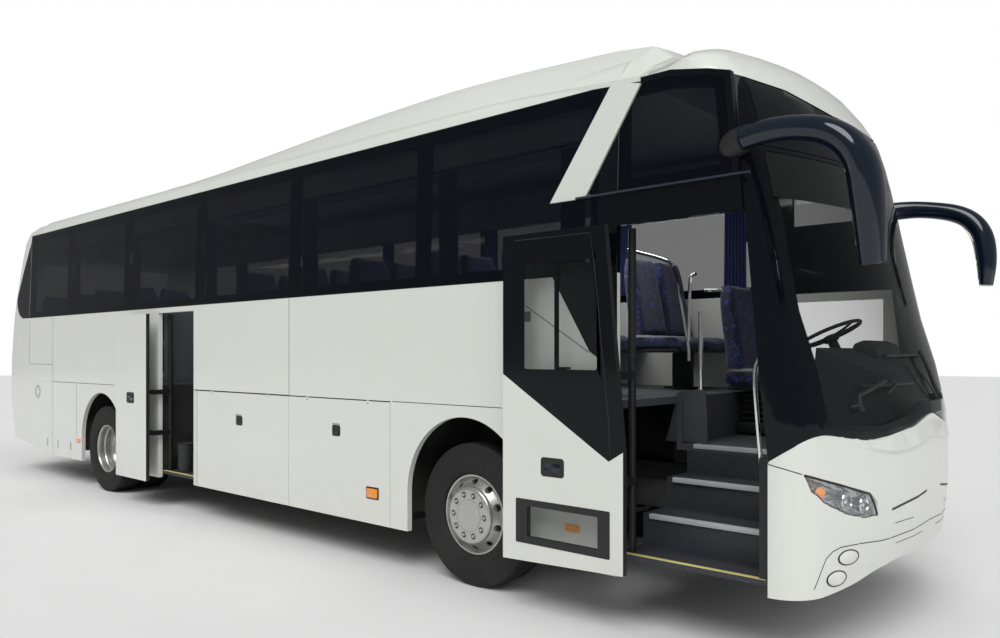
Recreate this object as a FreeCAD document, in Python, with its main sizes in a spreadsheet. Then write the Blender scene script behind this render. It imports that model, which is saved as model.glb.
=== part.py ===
import FreeCAD, Part
import math
import os
import re

import Sketcher
from FreeCAD import Placement, Rotation, Vector

# A two-axle touring coach. X points forward, Y to the left, Z up, all in millimetres.
# The origin is on the ground, half-way along the body. The doors are on the right, at -Y.

SIZES = {
    # whole body
    "body_length": 12000,
    "body_width": 2550,
    "front_overhang": 2700,
    "wheelbase": 6050,
    "skirt_height": 320,
    "belt_height": 2140,
    "gutter_height": 3280,
    "gutter_inset": 35,
    "roof_height": 3540,
    "wall": 45,
    "glass": 8,
    "seam": 5,
    "panel_joint": 0.6,
    "seat_gap": 0.3,
    # hinges of the flaps and the engine lid
    "hinge_top_gap": 9,
    "hinge_depth": 7,
    "hinge_pin_radius": 4,
    "hinge_lug_width": 16,
    "hinge_pin_reach": 10,
    # wheels and axles
    "tyre_radius": 510,
    "tyre_width": 295,
    "rim_radius": 286,
    "front_track": 2100,
    "twin_outer_track": 2155,
    "twin_pitch": 335,
    "kingpin_span": 1680,
    "front_arch_radius": 589,
    "front_arch_top": 1205,
    "rear_arch_radius": 570,
    "rear_arch_top": 1180,
    # side seams, measured from the front of the body
    "nose_joint": 490,
    "tail_joint": 890,
    "flap_front": 3485,
    "flap_split": 4838,
    "flap_back": 6490,
    "flap_top": 1287,
    "left_flap_back": 7265,
    "corner_seam": 1740,
    # floors
    "floor_top": 1360,
    "floor_thickness": 50,
    "platform_top": 1040,
    "platform_edge": 380,
    "stairwell_edge": 420,
    "entry_sill": 455,
    "middle_sill": 390,
    "step_thickness": 30,
    "luggage_floor_top": 420,
    # chassis
    "rail_spread": 430,
    "rail_width": 70,
    "rail_height": 180,
    "front_rail_low": 600,
    "rear_rail_low": 760,
    "bellows_radius": 90,
    "kingpin_radius": 22,
    # front doorway and its leaf
    "front_door_back": 1430,
    "front_door_top": 2420,
    "front_door_bottom": 338,
    "front_leaf_back_shift": 778,
    # middle doorway and its leaf
    "middle_door_front": 6520,
    "middle_door_back": 7280,
    "middle_door_top": 2085,
    "middle_door_bottom": 300,
    "middle_leaf_back_shift": 710,
    # what both doors share
    "leaf_thickness": 40,
    "leaf_gap": 12,
    "leaf_out_shift": 155,
    "column_radius": 24,
    "column_inset": 110,
    "arm_width": 40,
    "arm_height": 50,
}

doc = FreeCAD.newDocument("coach_bus")


def make_sheet():
    """Put every driving dimension in a spreadsheet cell that its name is the alias of."""
    cells = doc.addObject("Spreadsheet::Sheet", "sizes")
    for row, (name, value) in enumerate(SIZES.items(), start=1):
        cells.set("A%d" % row, name)
        cells.set("B%d" % row, str(value))
        cells.setAlias("B%d" % row, name)
    doc.recompute()
    return cells


sheet = make_sheet()


class Length:
    """A size: its value in millimetres and the formula that gives it from the sheet."""

    def __init__(self, value, formula):
        self.value = value
        self.formula = formula

    def __float__(self):
        return self.value

    def __add__(self, other):
        other = length(other)
        return Length(self.value + other.value, "(%s + %s)" % (self.formula, other.formula))

    def __sub__(self, other):
        other = length(other)
        return Length(self.value - other.value, "(%s - %s)" % (self.formula, other.formula))

    def __mul__(self, other):
        other = length(other)
        return Length(self.value * other.value, "(%s * %s)" % (self.formula, other.formula))

    def __truediv__(self, other):
        other = length(other)
        return Length(self.value / other.value, "(%s / %s)" % (self.formula, other.formula))

    def __radd__(self, other):
        return length(other) + self

    def __rsub__(self, other):
        return length(other) - self

    def __rmul__(self, other):
        return length(other) * self

    def __neg__(self):
        return length(0) - self


def length(amount):
    """Take a number or a Length and give a Length."""
    if isinstance(amount, Length):
        return amount
    return Length(float(amount), repr(float(amount)))


class Sheet:
    """The driving dimensions by name, each as a Length."""

    def __getattr__(self, name):
        return Length(float(sheet.get(name)), "sizes.%s" % name)


s = Sheet()

# Places that many pieces share.
FRONT = s.body_length / 2
BACK = -s.body_length / 2
SIDE = s.body_width / 2
FRONT_AXLE = FRONT - s.front_overhang
REAR_AXLE = FRONT_AXLE - s.wheelbase
NOSE_JOINT = FRONT - s.nose_joint
TAIL_JOINT = BACK + s.tail_joint
INSIDE = SIDE - s.wall
FRONT_DOOR_BACK = FRONT - s.front_door_back
MIDDLE_DOOR_FRONT = FRONT - s.middle_door_front
MIDDLE_DOOR_BACK = FRONT - s.middle_door_back


def bind(thing, prop, amount):
    """Tie one property of an object to the sheet."""
    thing.setExpression(prop, length(amount).formula)


def place(thing, x=0, y=0, z=0):
    """Tie an object's position to the sheet and keep its rotation."""
    for axis, amount in (("x", x), ("y", y), ("z", z)):
        bind(thing, "Placement.Base." + axis, amount)


def box(name, x, y, z):
    """A block between pairs of X, Y and Z limits."""
    block = doc.addObject("Part::Box", name)
    for prop, (low, high) in (("Length", x), ("Width", y), ("Height", z)):
        bind(block, prop, length(high) - low)
    place(block, x[0], y[0], z[0])
    return block


TURNS = {
    "X": Rotation(Vector(0, 1, 0), 90),
    "Y": Rotation(Vector(1, 0, 0), -90),
    "Z": Rotation(),
}


def cylinder(name, axis, radius, start, span):
    """A cylinder that runs from its start point along one axis."""
    rod = doc.addObject("Part::Cylinder", name)
    rod.Placement = Placement(Vector(), TURNS[axis])
    bind(rod, "Radius", radius)
    bind(rod, "Height", span)
    place(rod, *start)
    return rod


def origin_plane(body, role):
    """One of a body's own origin planes."""
    return [item for item in body.Origin.OriginFeatures if item.Role == role][0]


def polygon(body, plane, points, name="outline"):
    """A closed sketch whose corners are tied to the sheet."""
    sketch = body.newObject("Sketcher::SketchObject", name)
    sketch.AttachmentSupport = [(origin_plane(body, plane), "")]
    sketch.MapMode = "FlatFace"
    corners = [(length(u), length(v)) for u, v in points]
    count = len(corners)
    for index in range(count):
        here = Vector(corners[index][0].value, corners[index][1].value, 0)
        following = corners[(index + 1) % count]
        there = Vector(following[0].value, following[1].value, 0)
        sketch.addGeometry(Part.LineSegment(here, there), False)
    for index in range(count):
        sketch.addConstraint(Sketcher.Constraint("Coincident", index, 2, (index + 1) % count, 1))
    for index, corner in enumerate(corners):
        for kind, amount in zip(("DistanceX", "DistanceY"), corner):
            number = sketch.addConstraint(Sketcher.Constraint(kind, index, 1, amount.value))
            sketch.setExpression("Constraints[%d]" % number, amount.formula)
    return sketch


def prism(name, plane, points, low, high):
    """A body padded from a polygon on the XY, XZ or YZ plane between two levels of the third axis."""
    body = doc.addObject("PartDesign::Body", name)
    sketch = polygon(body, plane + "_Plane", points)
    pad = body.newObject("PartDesign::Pad", name + "_pad")
    pad.Profile = sketch
    bind(pad, "Length", length(high) - low)
    if plane == "XY":
        place(body, 0, 0, low)
    elif plane == "YZ":
        place(body, low, 0, 0)
    else:
        place(body, 0, high, 0)
    return body


def spun(name, points, centre):
    """A body turned about the Y axis from (width, radius) corners, then moved to its centre."""
    body = doc.addObject("PartDesign::Body", name)
    sketch = polygon(body, "YZ_Plane", points)
    turn = body.newObject("PartDesign::Revolution", name + "_turn")
    turn.Profile = sketch
    turn.ReferenceAxis = (sketch, ["H_Axis"])
    turn.Angle = 360.0
    place(body, *centre)
    return body


def cut(name, base, tools):
    """What is left of a base once the tools are taken away."""
    result = doc.addObject("Part::Cut", name)
    result.Base = base
    result.Tool = tools[0] if len(tools) == 1 else fuse(name + "_tools", tools)
    return result


def fuse(name, pieces):
    """Pieces joined into one."""
    result = doc.addObject("Part::MultiFuse", name)
    result.Shapes = pieces
    return result


def together(name, pieces):
    """Separate pieces kept in one node."""
    result = doc.addObject("Part::Compound", name)
    result.Links = pieces
    return result


def hinge_shapes(axis, x, y, z):
    """Shapes of one hinge on an axis: the fixed lug's pin, and the notch and hole that the moving panel needs.

    The lug hangs from the panel above. The pin runs along the axis, X or Y, through the place given.
    """
    half = float(s.hinge_lug_width) / 2
    pin_radius = float(s.hinge_pin_radius)
    depth = float(s.hinge_depth)
    reach = float(s.hinge_pin_reach)
    gap = float(s.seat_gap)
    top = z + depth + float(s.hinge_top_gap) + 3
    way = Vector(1, 0, 0) if axis == "X" else Vector(0, 1, 0)

    def block(wide, deep, low, high):
        size = (wide, deep) if axis == "X" else (deep, wide)
        return Part.makeBox(2 * size[0], 2 * size[1], high - low, Vector(x - size[0], y - size[1], low))

    place_low = Vector(x, y, z) - way * (half + reach)
    pin = Part.makeCylinder(pin_radius, 2 * (half + reach), place_low, way)
    lug = block(half, depth, z - depth + 1, top).fuse(pin)
    hole = Part.makeCylinder(pin_radius + gap, 2 * (half + reach + 1), place_low - way, way)
    notch = block(half + 1, 3 * depth, z - 2 * depth, top + 20)
    return lug.removeSplitter(), notch.fuse(hole)


def feature(name, shape):
    """A piece whose shape is worked out here from the sheet's values."""
    result = doc.addObject("Part::Feature", name)
    result.Shape = shape
    return result


kept = []


def keep(thing, node):
    """Mark an object as one of the coach's named pieces."""
    thing.Label = node
    kept.append(thing)
    return thing


# Shell of the nose, from level outlines that share one plan: side, corner, bowed front.

# height, setback of the front, setback of the corner's start, inset of the side, corner radius
NOSE_LEVELS = [
    (300, 115, 490, 0, 240),
    (600, 35, 490, 0, 240),
    (900, 5, 490, 0, 240),
    (1300, 25, 490, 0, 240),
    (1880, 172, 640, 0, 235),
    (2320, 272, 712, 6, 230),
    (2820, 388, 800, 21, 225),
    (3110, 476, 870, 30, 225),
    (3250, 560, 950, 36, 225),
    (3360, 640, 1030, 75, 225),
    (3450, 730, 1080, 190, 220),
    (3520, 820, 1150, 345, 200),
    (3570, 920, 1230, 560, 180),
    (3590, 1010, 1290, 760, 160),
]

# height, setback of the back, setback of the corner's start, inset of the side, corner radius
TAIL_LEVELS = [
    (300, 150, 360, 0, 160),
    (480, 150, 360, 0, 160),
    (980, 0, 210, 0, 160),
    (1460, 0, 210, 0, 160),
    (1790, 50, 260, 0, 160),
    (2140, 118, 328, 0, 160),
    (2700, 285, 495, 17, 160),
    (3200, 500, 710, 33, 165),
    (3330, 585, 800, 60, 170),
    (3420, 690, 900, 150, 170),
    (3480, 830, 1020, 330, 160),
    (3505, 960, 1130, 560, 140),
]


LEVEL_STEP = 150
BOW_CHORDS = 4


def finer(levels):
    """The levels with one more between each two that are far apart, on a smooth curve through them."""

    def slope(index, column):
        before, here, after = levels[index - 1], levels[index], levels[index + 1]
        rise_low = (here[column] - before[column]) / (here[0] - before[0])
        rise_high = (after[column] - here[column]) / (after[0] - here[0])
        if rise_low * rise_high <= 0:
            return 0.0
        return 2 * rise_low * rise_high / (rise_low + rise_high)

    result = [levels[0]]
    for index in range(len(levels) - 1):
        low, high = levels[index], levels[index + 1]
        step = high[0] - low[0]
        if step < LEVEL_STEP:
            result.append(high)
            continue
        middle = [(low[0] + high[0]) / 2]
        for column in range(1, 5):
            plain = (high[column] - low[column]) / step
            start = slope(index, column) if index else plain
            end = slope(index + 1, column) if index + 2 < len(levels) else plain
            middle.append((low[column] + high[column]) / 2 + (start - end) * step / 8)
        result += [tuple(middle), high]
    return result


def chord_outline(height, corner_start, half, corner, base, centre, bow, meet):
    """A level outline of straight chords, for the inner faces."""
    reach = half - corner
    side_points = [
        Vector(corner_start + corner * math.cos(angle), reach + corner * math.sin(angle), height)
        for angle in (math.pi / 2, math.pi / 3, meet)
    ]
    bow_points = [
        Vector(centre + bow * math.cos(angle), bow * math.sin(angle), height) for angle in (meet * 0.5, 0.0)
    ]
    half_points = [Vector(base, half, height)] + side_points + bow_points
    other = [Vector(point.x, -point.y, height) for point in reversed(half_points[:-1])]
    points = half_points + other
    return Part.makePolygon(points + points[:1])


def level_outline(height, tip, corner_start, half, corner, base, plain=False):
    """One closed level outline with a bowed end at tip, round corners and a straight base."""
    depth = tip - corner_start
    reach = half - corner
    bow = (depth**2 + reach**2 - corner**2) / (2 * (depth - corner))
    centre = tip - bow
    meet = math.atan2(reach, corner_start - centre)
    half_way = (math.pi / 2 + meet) / 2
    if plain:
        return chord_outline(height, corner_start, half, corner, base, centre, bow, meet)

    def on_corner(side, angle):
        return Vector(
            corner_start + corner * math.cos(angle),
            side * (reach + corner * math.sin(angle)),
            height,
        )

    right_start = Vector(corner_start, -half, height)
    left_start = Vector(corner_start, half, height)
    angles = [meet * share / BOW_CHORDS for share in range(-BOW_CHORDS, BOW_CHORDS + 1)]
    along = [Vector(centre + bow * math.cos(angle), bow * math.sin(angle), height) for angle in angles]
    along[0] = on_corner(-1, meet)
    along[-1] = on_corner(1, meet)
    edges = [
        Part.makeLine(Vector(base, -half, height), right_start),
        Part.Arc(right_start, on_corner(-1, half_way), along[0]).toShape(),
    ]
    edges += [Part.makeLine(along[index], along[index + 1]) for index in range(2 * BOW_CHORDS)]
    edges += [
        Part.Arc(along[-1], on_corner(1, half_way), left_start).toShape(),
        Part.makeLine(left_start, Vector(base, half, height)),
        Part.makeLine(Vector(base, half, height), Vector(base, -half, height)),
    ]
    return Part.Wire(edges)


def end_shell(levels, skin, base_setback, sinks=True, plain=False):
    """The solid inside a skin that lies the given depth below the outer face of the nose or tail.

    With sinks, its upper levels come down too, so that the roof of the shell gets its thickness.
    A plain one has straight chords and no levels between the given ones.
    """
    if not plain:
        levels = finer(levels)
    tip = float(FRONT)
    half = float(SIDE)
    first_sink = float(s.gutter_height)
    top = levels[-1][0]
    outlines = []
    for height, setback, corner_setback, inset, corner in levels:
        sink = skin * max(0.0, (height - first_sink) / (top - first_sink)) if sinks else 0.0
        drop = 10 if height == levels[0][0] and skin else 0
        outlines.append(
            level_outline(
                height - sink - drop,
                tip - setback - skin,
                tip - corner_setback,
                half - inset - skin,
                max(corner - skin, 60),
                tip - base_setback - (10 if skin else 0),
                plain,
            )
        )
    return Part.makeLoft(outlines, True, True)


def turned_back(shape):
    """The shape turned half round, so that what was made as a nose is a tail."""
    copy = shape.copy()
    copy.rotate(Vector(), Vector(0, 0, 1), 180)
    return copy


def plate_from(points, plane, low, high):
    """A flat prism from plain numbers, used to split a shell."""
    if plane == "XZ":
        corners = [Vector(u, low, v) for u, v in points]
        way = Vector(0, high - low, 0)
    else:
        corners = [Vector(low, u, v) for u, v in points]
        way = Vector(high - low, 0, 0)
    return Part.Face(Part.makePolygon(corners + corners[:1])).extrude(way)


# The engine lid: its lower edge, the upper edge of its opening, half its width and where its hinges sit.
LID_LOW = 780.0
LID_TOP = 1585.0
LID_HALF = 850.0
LID_HINGE_X = 24.0 - float(FRONT)
LID_HINGE_Y = 250.0
WIDE = 3000.0
NOSE_BASE = 1430.0
TAIL_BASE = 1250.0
# The door line: upright beside the nose panel, then leaning back with the screen.
DOOR_LINE = [(490, 200), (490, 1092), (630, 2420), (700, 3060), (740, 3400)]
# The lower edge of the white dome in side view.
DOME_LINE = [(1430, 3283), (1088, 3281), (848, 3233), (730, 3197), (600, 3168), (489, 3092), (-300, 3080)]
# The top edge of the white nose panel in front view.
NOSE_TOP_LINE = [(0, 1296), (110, 1279), (400, 1219), (719, 1186), (969, 1210), (1145, 1226), (1290, 1075)]
# The lower edge of the bumper in front view.
BUMPER_LINE = [(0, 519), (300, 508), (663, 471), (903, 418), (1133, 390), (1290, 380)]
# The outline of a headlamp in front view.
LAMP_LINE = [(1209, 1027), (990, 985), (771, 896), (722, 850), (713, 776), (845, 779), (971, 814), (1109, 881), (1180, 945)]
SCREEN_SPLIT = 2770.0
SCREEN_TOP = 3230.0
SCREEN_HALF = 1120.0
SCREEN_RIM = 55.0


def in_front(points):
    """Side-view points that are given as setbacks from the front, as X and Z."""
    return [(float(FRONT) - setback, height) for setback, height in points]


def spline_edge(points):
    """A smooth edge through points."""
    curve = Part.BSplineCurve()
    curve.interpolate(points)
    return curve.toShape()


def below_front_line(line, depth, shift=0.0):
    """A block that fills everything below a front-view line, symmetric about the middle."""
    far = float(FRONT) + 500
    near = far - depth
    half = [(y, z + shift) for y, z in line]
    full = [(-y, z) for y, z in reversed(half[1:])] + half
    points = [Vector(near, y, z) for y, z in full]
    top = spline_edge(points)
    low = -500.0
    left = Vector(near, points[-1].y, low)
    right = Vector(near, points[0].y, low)
    face = Part.Face(
        Part.Wire(
            [
                top,
                Part.makeLine(points[-1], left),
                Part.makeLine(left, right),
                Part.makeLine(right, points[0]),
            ]
        )
    )
    return face.extrude(Vector(depth, 0, 0))


def ahead_of(line, shift=0.0):
    """A block ahead of a side-view line that is given as setbacks from the front."""
    points = [(x + shift, z) for x, z in in_front(line)]
    far = float(FRONT) + 800
    outline = points + [(far, points[-1][1]), (far, points[0][1])]
    return plate_from(outline, "XZ", -WIDE, WIDE)


def above_side_line(line, shift=0.0):
    """A block above a side-view line that is given as setbacks from the front."""
    points = [(x, z + shift) for x, z in in_front(line)]
    top = 5000.0
    outline = points + [(points[-1][0], top), (points[0][0], top)]
    return plate_from(outline, "XZ", -WIDE, WIDE)


def screen_block(low, high, edge=0.0):
    """The space of the windscreens between two heights, with an edge taken off each side."""
    half = SCREEN_HALF - edge
    return Part.makeBox(1400, 2 * half, high - low, Vector(float(FRONT) - 900, -half, low))


def lamp_block(grow):
    """The space of both headlamps, grown about each lamp's middle."""
    middle = Vector(0, 960, 880)
    blocks = []
    for side in (-1, 1):
        corners = []
        for y, z in LAMP_LINE:
            point = middle + (Vector(0, y, z) - middle) * grow
            corners.append(Vector(float(FRONT) - 600, side * point.y, point.z))
        blocks.append(Part.Face(Part.makePolygon(corners + corners[:1])).extrude(Vector(1000, 0, 0)))
    return blocks


def make_nose():
    """Nose panel, headlamps, black frame, two windscreens and the white dome, all cut from one shell."""
    wall = float(s.wall)
    glass = float(s.glass)
    seam = float(s.seam)
    gap = float(s.seat_gap)
    half_joint = float(s.panel_joint) / 2
    outer = end_shell(NOSE_LEVELS, 0.0, NOSE_BASE)
    inner = end_shell(NOSE_LEVELS, wall, NOSE_BASE, plain=True)
    under_glass = end_shell(NOSE_LEVELS, glass, NOSE_BASE, False)
    under_seat = end_shell(NOSE_LEVELS, glass + gap, NOSE_BASE, False)
    shell = outer.cut(inner)

    door_side = ahead_of(DOOR_LINE, half_joint)
    dome_zone = above_side_line(DOME_LINE, half_joint)
    over_frame = above_side_line(DOME_LINE, -half_joint)
    joint = float(NOSE_JOINT) + half_joint
    far = float(FRONT) + 600
    panel_ahead = plate_from([(joint, -600), (far, -600), (far, 1500), (joint, 1500)], "XZ", -WIDE, WIDE)
    panel = shell.common(below_front_line(NOSE_TOP_LINE, 1500.0, -half_joint)).common(panel_ahead)
    panel = panel.cut(below_front_line(BUMPER_LINE, 1500.0))
    lamps = [shell.common(block) for block in lamp_block(1.0)]
    for block in lamp_block(1.003):
        panel = panel.cut(block)
    keep(feature("nose_panel_shape", panel), "nose_panel")
    keep(feature("headlamps_shape", Part.makeCompound(lamps)), "headlamps")

    over_panel = below_front_line(NOSE_TOP_LINE, 1500.0, half_joint)
    frame = shell.common(door_side).cut(over_frame).cut(over_panel)
    sill = below_front_line(NOSE_TOP_LINE, 1500.0, 75)
    header = above_side_line(DOME_LINE, -SCREEN_RIM)
    for low, high in ((1000, SCREEN_SPLIT - 12), (SCREEN_SPLIT + 12, SCREEN_TOP)):
        seat = outer.common(screen_block(low, high)).cut(over_frame).cut(under_seat)
        opening = screen_block(low + SCREEN_RIM, high - SCREEN_RIM, SCREEN_RIM).cut(sill).cut(header)
        frame = frame.cut(seat).cut(opening)
    keep(feature("nose_frame_shape", frame), "nose_frame")

    low_screen = outer.common(screen_block(1000, SCREEN_SPLIT - 12 - seam, seam))
    low_screen = low_screen.cut(under_glass).cut(below_front_line(NOSE_TOP_LINE, 1500.0, 2 * seam))
    keep(feature("lower_windscreen_shape", low_screen), "windscreen_lower")
    high_screen = outer.common(screen_block(SCREEN_SPLIT + 12 + seam, SCREEN_TOP, seam))
    high_screen = high_screen.cut(above_side_line(DOME_LINE, -2 * seam)).cut(under_glass)
    keep(feature("upper_windscreen_shape", high_screen), "windscreen_upper")

    keep(feature("dome_shape", shell.common(dome_zone)), "front_dome")


def make_tail():
    """Rear wall with its cap, window and engine lid, cut from one shell."""
    wall = float(s.wall)
    glass = float(s.glass)
    seam = float(s.seam)
    gap = float(s.seat_gap)
    outer = turned_back(end_shell(TAIL_LEVELS, 0.0, TAIL_BASE))
    inner = turned_back(end_shell(TAIL_LEVELS, wall, TAIL_BASE, plain=True))
    under_glass = turned_back(end_shell(TAIL_LEVELS, glass, TAIL_BASE))
    under_seat = turned_back(end_shell(TAIL_LEVELS, glass + gap, TAIL_BASE))
    joint = float(TAIL_JOINT) - float(s.panel_joint) / 2
    roof_joint = float(BACK) + TAIL_BASE - 20
    gutter = float(s.gutter_height)
    back = float(BACK)
    far = back - 1000
    behind = plate_from(
        [(joint, 200), (joint, gutter), (roof_joint, gutter), (roof_joint, 4000), (far, 4000), (far, 200)],
        "XZ", -WIDE, WIDE,
    )
    shell = outer.cut(inner).common(behind)
    lift = plate_from([(far, 0), (far, 520), (back, 490), (back + 1000, 400), (back + 1000, 0)], "XZ", -WIDE, WIDE)
    shell = shell.cut(lift)
    lid_top = LID_TOP - float(s.hinge_top_gap)
    lid_block = Part.makeBox(900, 2 * LID_HALF, lid_top - LID_LOW, Vector(float(BACK) - 300, -LID_HALF, LID_LOW))
    lid_hole = Part.makeBox(900, 2 * (LID_HALF + seam), LID_TOP - LID_LOW + seam,
                            Vector(float(BACK) - 300, -LID_HALF - seam, LID_LOW - seam))
    window_block = Part.makeBox(1500, 2000, 950, Vector(float(BACK) - 300, -1000, 2050))
    window_hole = Part.makeBox(1500, 1880, 830, Vector(float(BACK) - 300, -940, 2110))
    lid = shell.common(lid_block)
    lugs = []
    for y in (-LID_HINGE_Y, LID_HINGE_Y):
        lug, notch = hinge_shapes("Y", LID_HINGE_X, y, lid_top - float(s.hinge_depth))
        lugs.append(lug)
        lid = lid.cut(notch)
    keep(feature("engine_lid_shape", lid), "engine_lid")
    window = outer.cut(under_glass).common(window_block)
    keep(feature("rear_window_shape", window), "rear_window")
    window_seat = outer.cut(under_seat).common(window_block)
    rear = shell.cut(lid_hole).cut(window_seat).cut(window_hole)
    for lug in lugs:
        rear = rear.fuse(lug)
    rear = rear.removeSplitter()
    tail_lamps = []
    for side in (-1, 1):
        low = 960 if side > 0 else -1215
        lamp = Part.makeBox(500, 255, 520, Vector(float(BACK) - 100, low, 980))
        hole = Part.makeBox(500, 255 + 2 * gap, 520 + 2 * gap, Vector(float(BACK) - 100, low - gap, 980 - gap))
        tail_lamps.append(shell.common(lamp))
        rear = rear.cut(hole)
    keep(feature("tail_lamps_shape", Part.makeCompound(tail_lamps)), "tail_lamps")
    keep(feature("rear_wall_shape", rear), "rear_wall")


# Roof.


def roof_half(depth):
    """Corner, side and crown points of half the roof's section, a given depth inside the outer face."""
    top = float(s.roof_height) - depth
    edge = float(SIDE) - float(s.gutter_inset) - depth
    gutter = float(s.gutter_height)
    return [
        Vector(0, -edge, gutter),
        Vector(0, -edge + 60 + depth * 0.1, gutter + 112 - depth * 0.6),
        Vector(0, -edge + 240, top - 62),
        Vector(0, 0, top),
    ]


def roof_wire(depth, drop=0.0):
    """The closed section of the roof at a depth inside its outer face, drawn down by the drop."""
    low, corner, shoulder, crown = roof_half(depth)
    base = low - Vector(0, 0, drop)

    def flip(point):
        return Vector(point.x, -point.y, point.z)

    edges = [
        Part.Arc(low, corner, shoulder).toShape(),
        Part.Arc(shoulder, crown, flip(shoulder)).toShape(),
        Part.Arc(flip(shoulder), flip(corner), flip(low)).toShape(),
    ]
    if drop:
        edges.append(Part.makeLine(flip(low), flip(base)))
    edges.append(Part.makeLine(flip(base), base))
    if drop:
        edges.append(Part.makeLine(base, low))
    return Part.Wire(edges)


def make_roof():
    """Roof shell between the tail and the dome."""
    start = float(BACK) + TAIL_BASE - 20 + float(s.panel_joint)
    end = float(FRONT) - NOSE_BASE - float(s.panel_joint)
    outer = Part.Face(roof_wire(0.0)).extrude(Vector(end - start, 0, 0))
    inner = Part.Face(roof_wire(float(s.wall), 20.0)).extrude(Vector(end - start + 20, 0, 0))
    inner.translate(Vector(-10, 0, 0))
    shell = outer.cut(inner)
    shell.translate(Vector(start, 0, 0))
    keep(feature("roof_shape", shell), "roof_shell")


# place along the coach as a setback from the front, height of the fairing's edge, of its crown, half width
FAIRING_SECTIONS = [
    (7500, 3475, 3560, 1010),
    (6900, 3490, 3590, 1015),
    (5900, 3530, 3650, 1020),
    (4500, 3590, 3720, 1025),
    (3200, 3625, 3750, 1020),
    (2500, 3612, 3735, 1010),
    (2000, 3580, 3700, 1000),
    (1640, 3560, 3670, 990),
]


def make_fairing():
    """The long fairing over the roof units, open below."""
    outlines = []
    for setback, edge, crown, half in FAIRING_SECTIONS:
        x = float(FRONT) - setback
        foot = half + 175
        base = 3395.0
        half_section = [(foot, base), ((foot + half) / 2 + 14, (base + edge) / 2 + 14), (half, edge)]
        half_section += [(half * share, crown - (crown - edge) * share**2) for share in (0.67, 0.33)]
        points = [Vector(x, y, z) for y, z in half_section] + [Vector(x, 0, crown)]
        points += [Vector(x, -y, z) for y, z in reversed(half_section)]
        outlines.append(Part.makePolygon(points + points[:1]))
    solid = Part.makeLoft(outlines, True, True)
    start = float(FRONT) - FAIRING_SECTIONS[0][0] - 50
    end = float(FRONT) - FAIRING_SECTIONS[-1][0] + 50
    roof = Part.Face(roof_wire(-0.3, 0.0)).extrude(Vector(end - start, 0, 0))
    roof.translate(Vector(start, 0, 0))
    lower = Part.makeBox(end - start, 2 * WIDE, 700, Vector(start, -WIDE, 2700 - 5))
    fairing = solid.cut(roof).cut(lower)
    keep(feature("fairing_shape", fairing), "roof_fairing")


make_nose()
make_tail()
make_roof()
make_fairing()


# Where the luggage flaps hang: front and back setback of each flap by side, and two hinges a flap.

LEFT_FLAP_STEP = (s.left_flap_back - s.flap_front) / 3
FLAPS = {
    "flap_right_front": (-1, s.flap_front, s.flap_split),
    "flap_right_rear": (-1, s.flap_split, s.flap_back),
    "flap_left_front": (1, s.flap_front, s.flap_front + LEFT_FLAP_STEP),
    "flap_left_middle": (1, s.flap_front + LEFT_FLAP_STEP, s.flap_front + LEFT_FLAP_STEP * 2),
    "flap_left_rear": (1, s.flap_front + LEFT_FLAP_STEP * 2, s.left_flap_back),
}
FLAP_HINGE_Y = SIDE - s.hinge_depth
FLAP_HINGE_Z = s.flap_top - s.hinge_top_gap - s.hinge_depth


def flap_hinges(front_setback, back_setback):
    """The two places along the coach where a flap's hinges sit."""
    long = back_setback - front_setback
    return [FRONT - front_setback - long / 5, FRONT - back_setback + long / 5]


FLAP_HINGES = {
    side: [place_x for one_side, front, back in FLAPS.values() if one_side == side for place_x in flap_hinges(front, back)]
    for side in (-1, 1)
}

# Lower side walls. They end below the belt by what the lean of the window frames brings down.

LEAN = math.degrees(math.atan2(float(s.gutter_inset), float(s.gutter_height - s.belt_height)))
BELT_DROP = s.wall * s.gutter_inset / (s.gutter_height - s.belt_height) + s.seat_gap


def arch(name, axle, radius, top, side):
    """The space of a wheel arch through a side wall: a half circle on straight legs."""
    near = SIDE - s.wall - 20
    far = SIDE + 20
    low, high = (near, far) if side > 0 else (-far, -near)
    round_part = cylinder(name + "_round", "Y", radius, (axle, low, top - radius), high - low)
    legs = box(name + "_legs", (axle - radius, axle + radius), (low, high), (0, top - radius))
    return [round_part, legs]


def lower_wall(side, back, front, openings, joints):
    """The flat lower wall between two X places as panels, with its joints, arches and openings cut."""
    name = "right" if side < 0 else "left"
    inner, outer = (INSIDE, SIDE) if side > 0 else (-SIDE, -INSIDE)
    plate = box("wall_plate_" + name, (back, front), (inner, outer), (s.skirt_height, s.belt_height - BELT_DROP))
    through = (inner - 10, outer + 10)
    half_joint = s.panel_joint / 2
    tools = arch("front_arch_" + name, FRONT_AXLE, s.front_arch_radius, s.front_arch_top, side)
    tools += arch("rear_arch_" + name, REAR_AXLE, s.rear_arch_radius, s.rear_arch_top, side)
    tools += openings
    tools.append(box("level_joint_" + name, (back - 10, front + 10), through,
                     (s.flap_top - half_joint, s.flap_top + half_joint)))
    for number, place_x in enumerate(joints):
        tools.append(box("upright_joint_%s_%d" % (name, number), (place_x - half_joint, place_x + half_joint),
                         through, (0, s.gutter_height)))
    tools.append(
        prism(
            "rising_skirt_" + name, "XZ",
            [(BACK + 1720, 300), (BACK + 1720, s.skirt_height + 8), (BACK + 800, s.skirt_height + 104),
             (BACK + 800, 300)],
            (inner - 10), (outer + 10),
        )
    )
    lugs = []
    for number, place_x in enumerate(FLAP_HINGES[side]):
        lug, notch = hinge_shapes("X", float(place_x), side * float(FLAP_HINGE_Y), float(FLAP_HINGE_Z))
        lugs.append(feature("flap_lug_%s_%d" % (name, number), lug))
    pierced = cut("lower_wall_" + name, plate, tools)
    return keep(fuse("wall_with_lugs_" + name, [pierced] + lugs), "side_wall_" + name)


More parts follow.
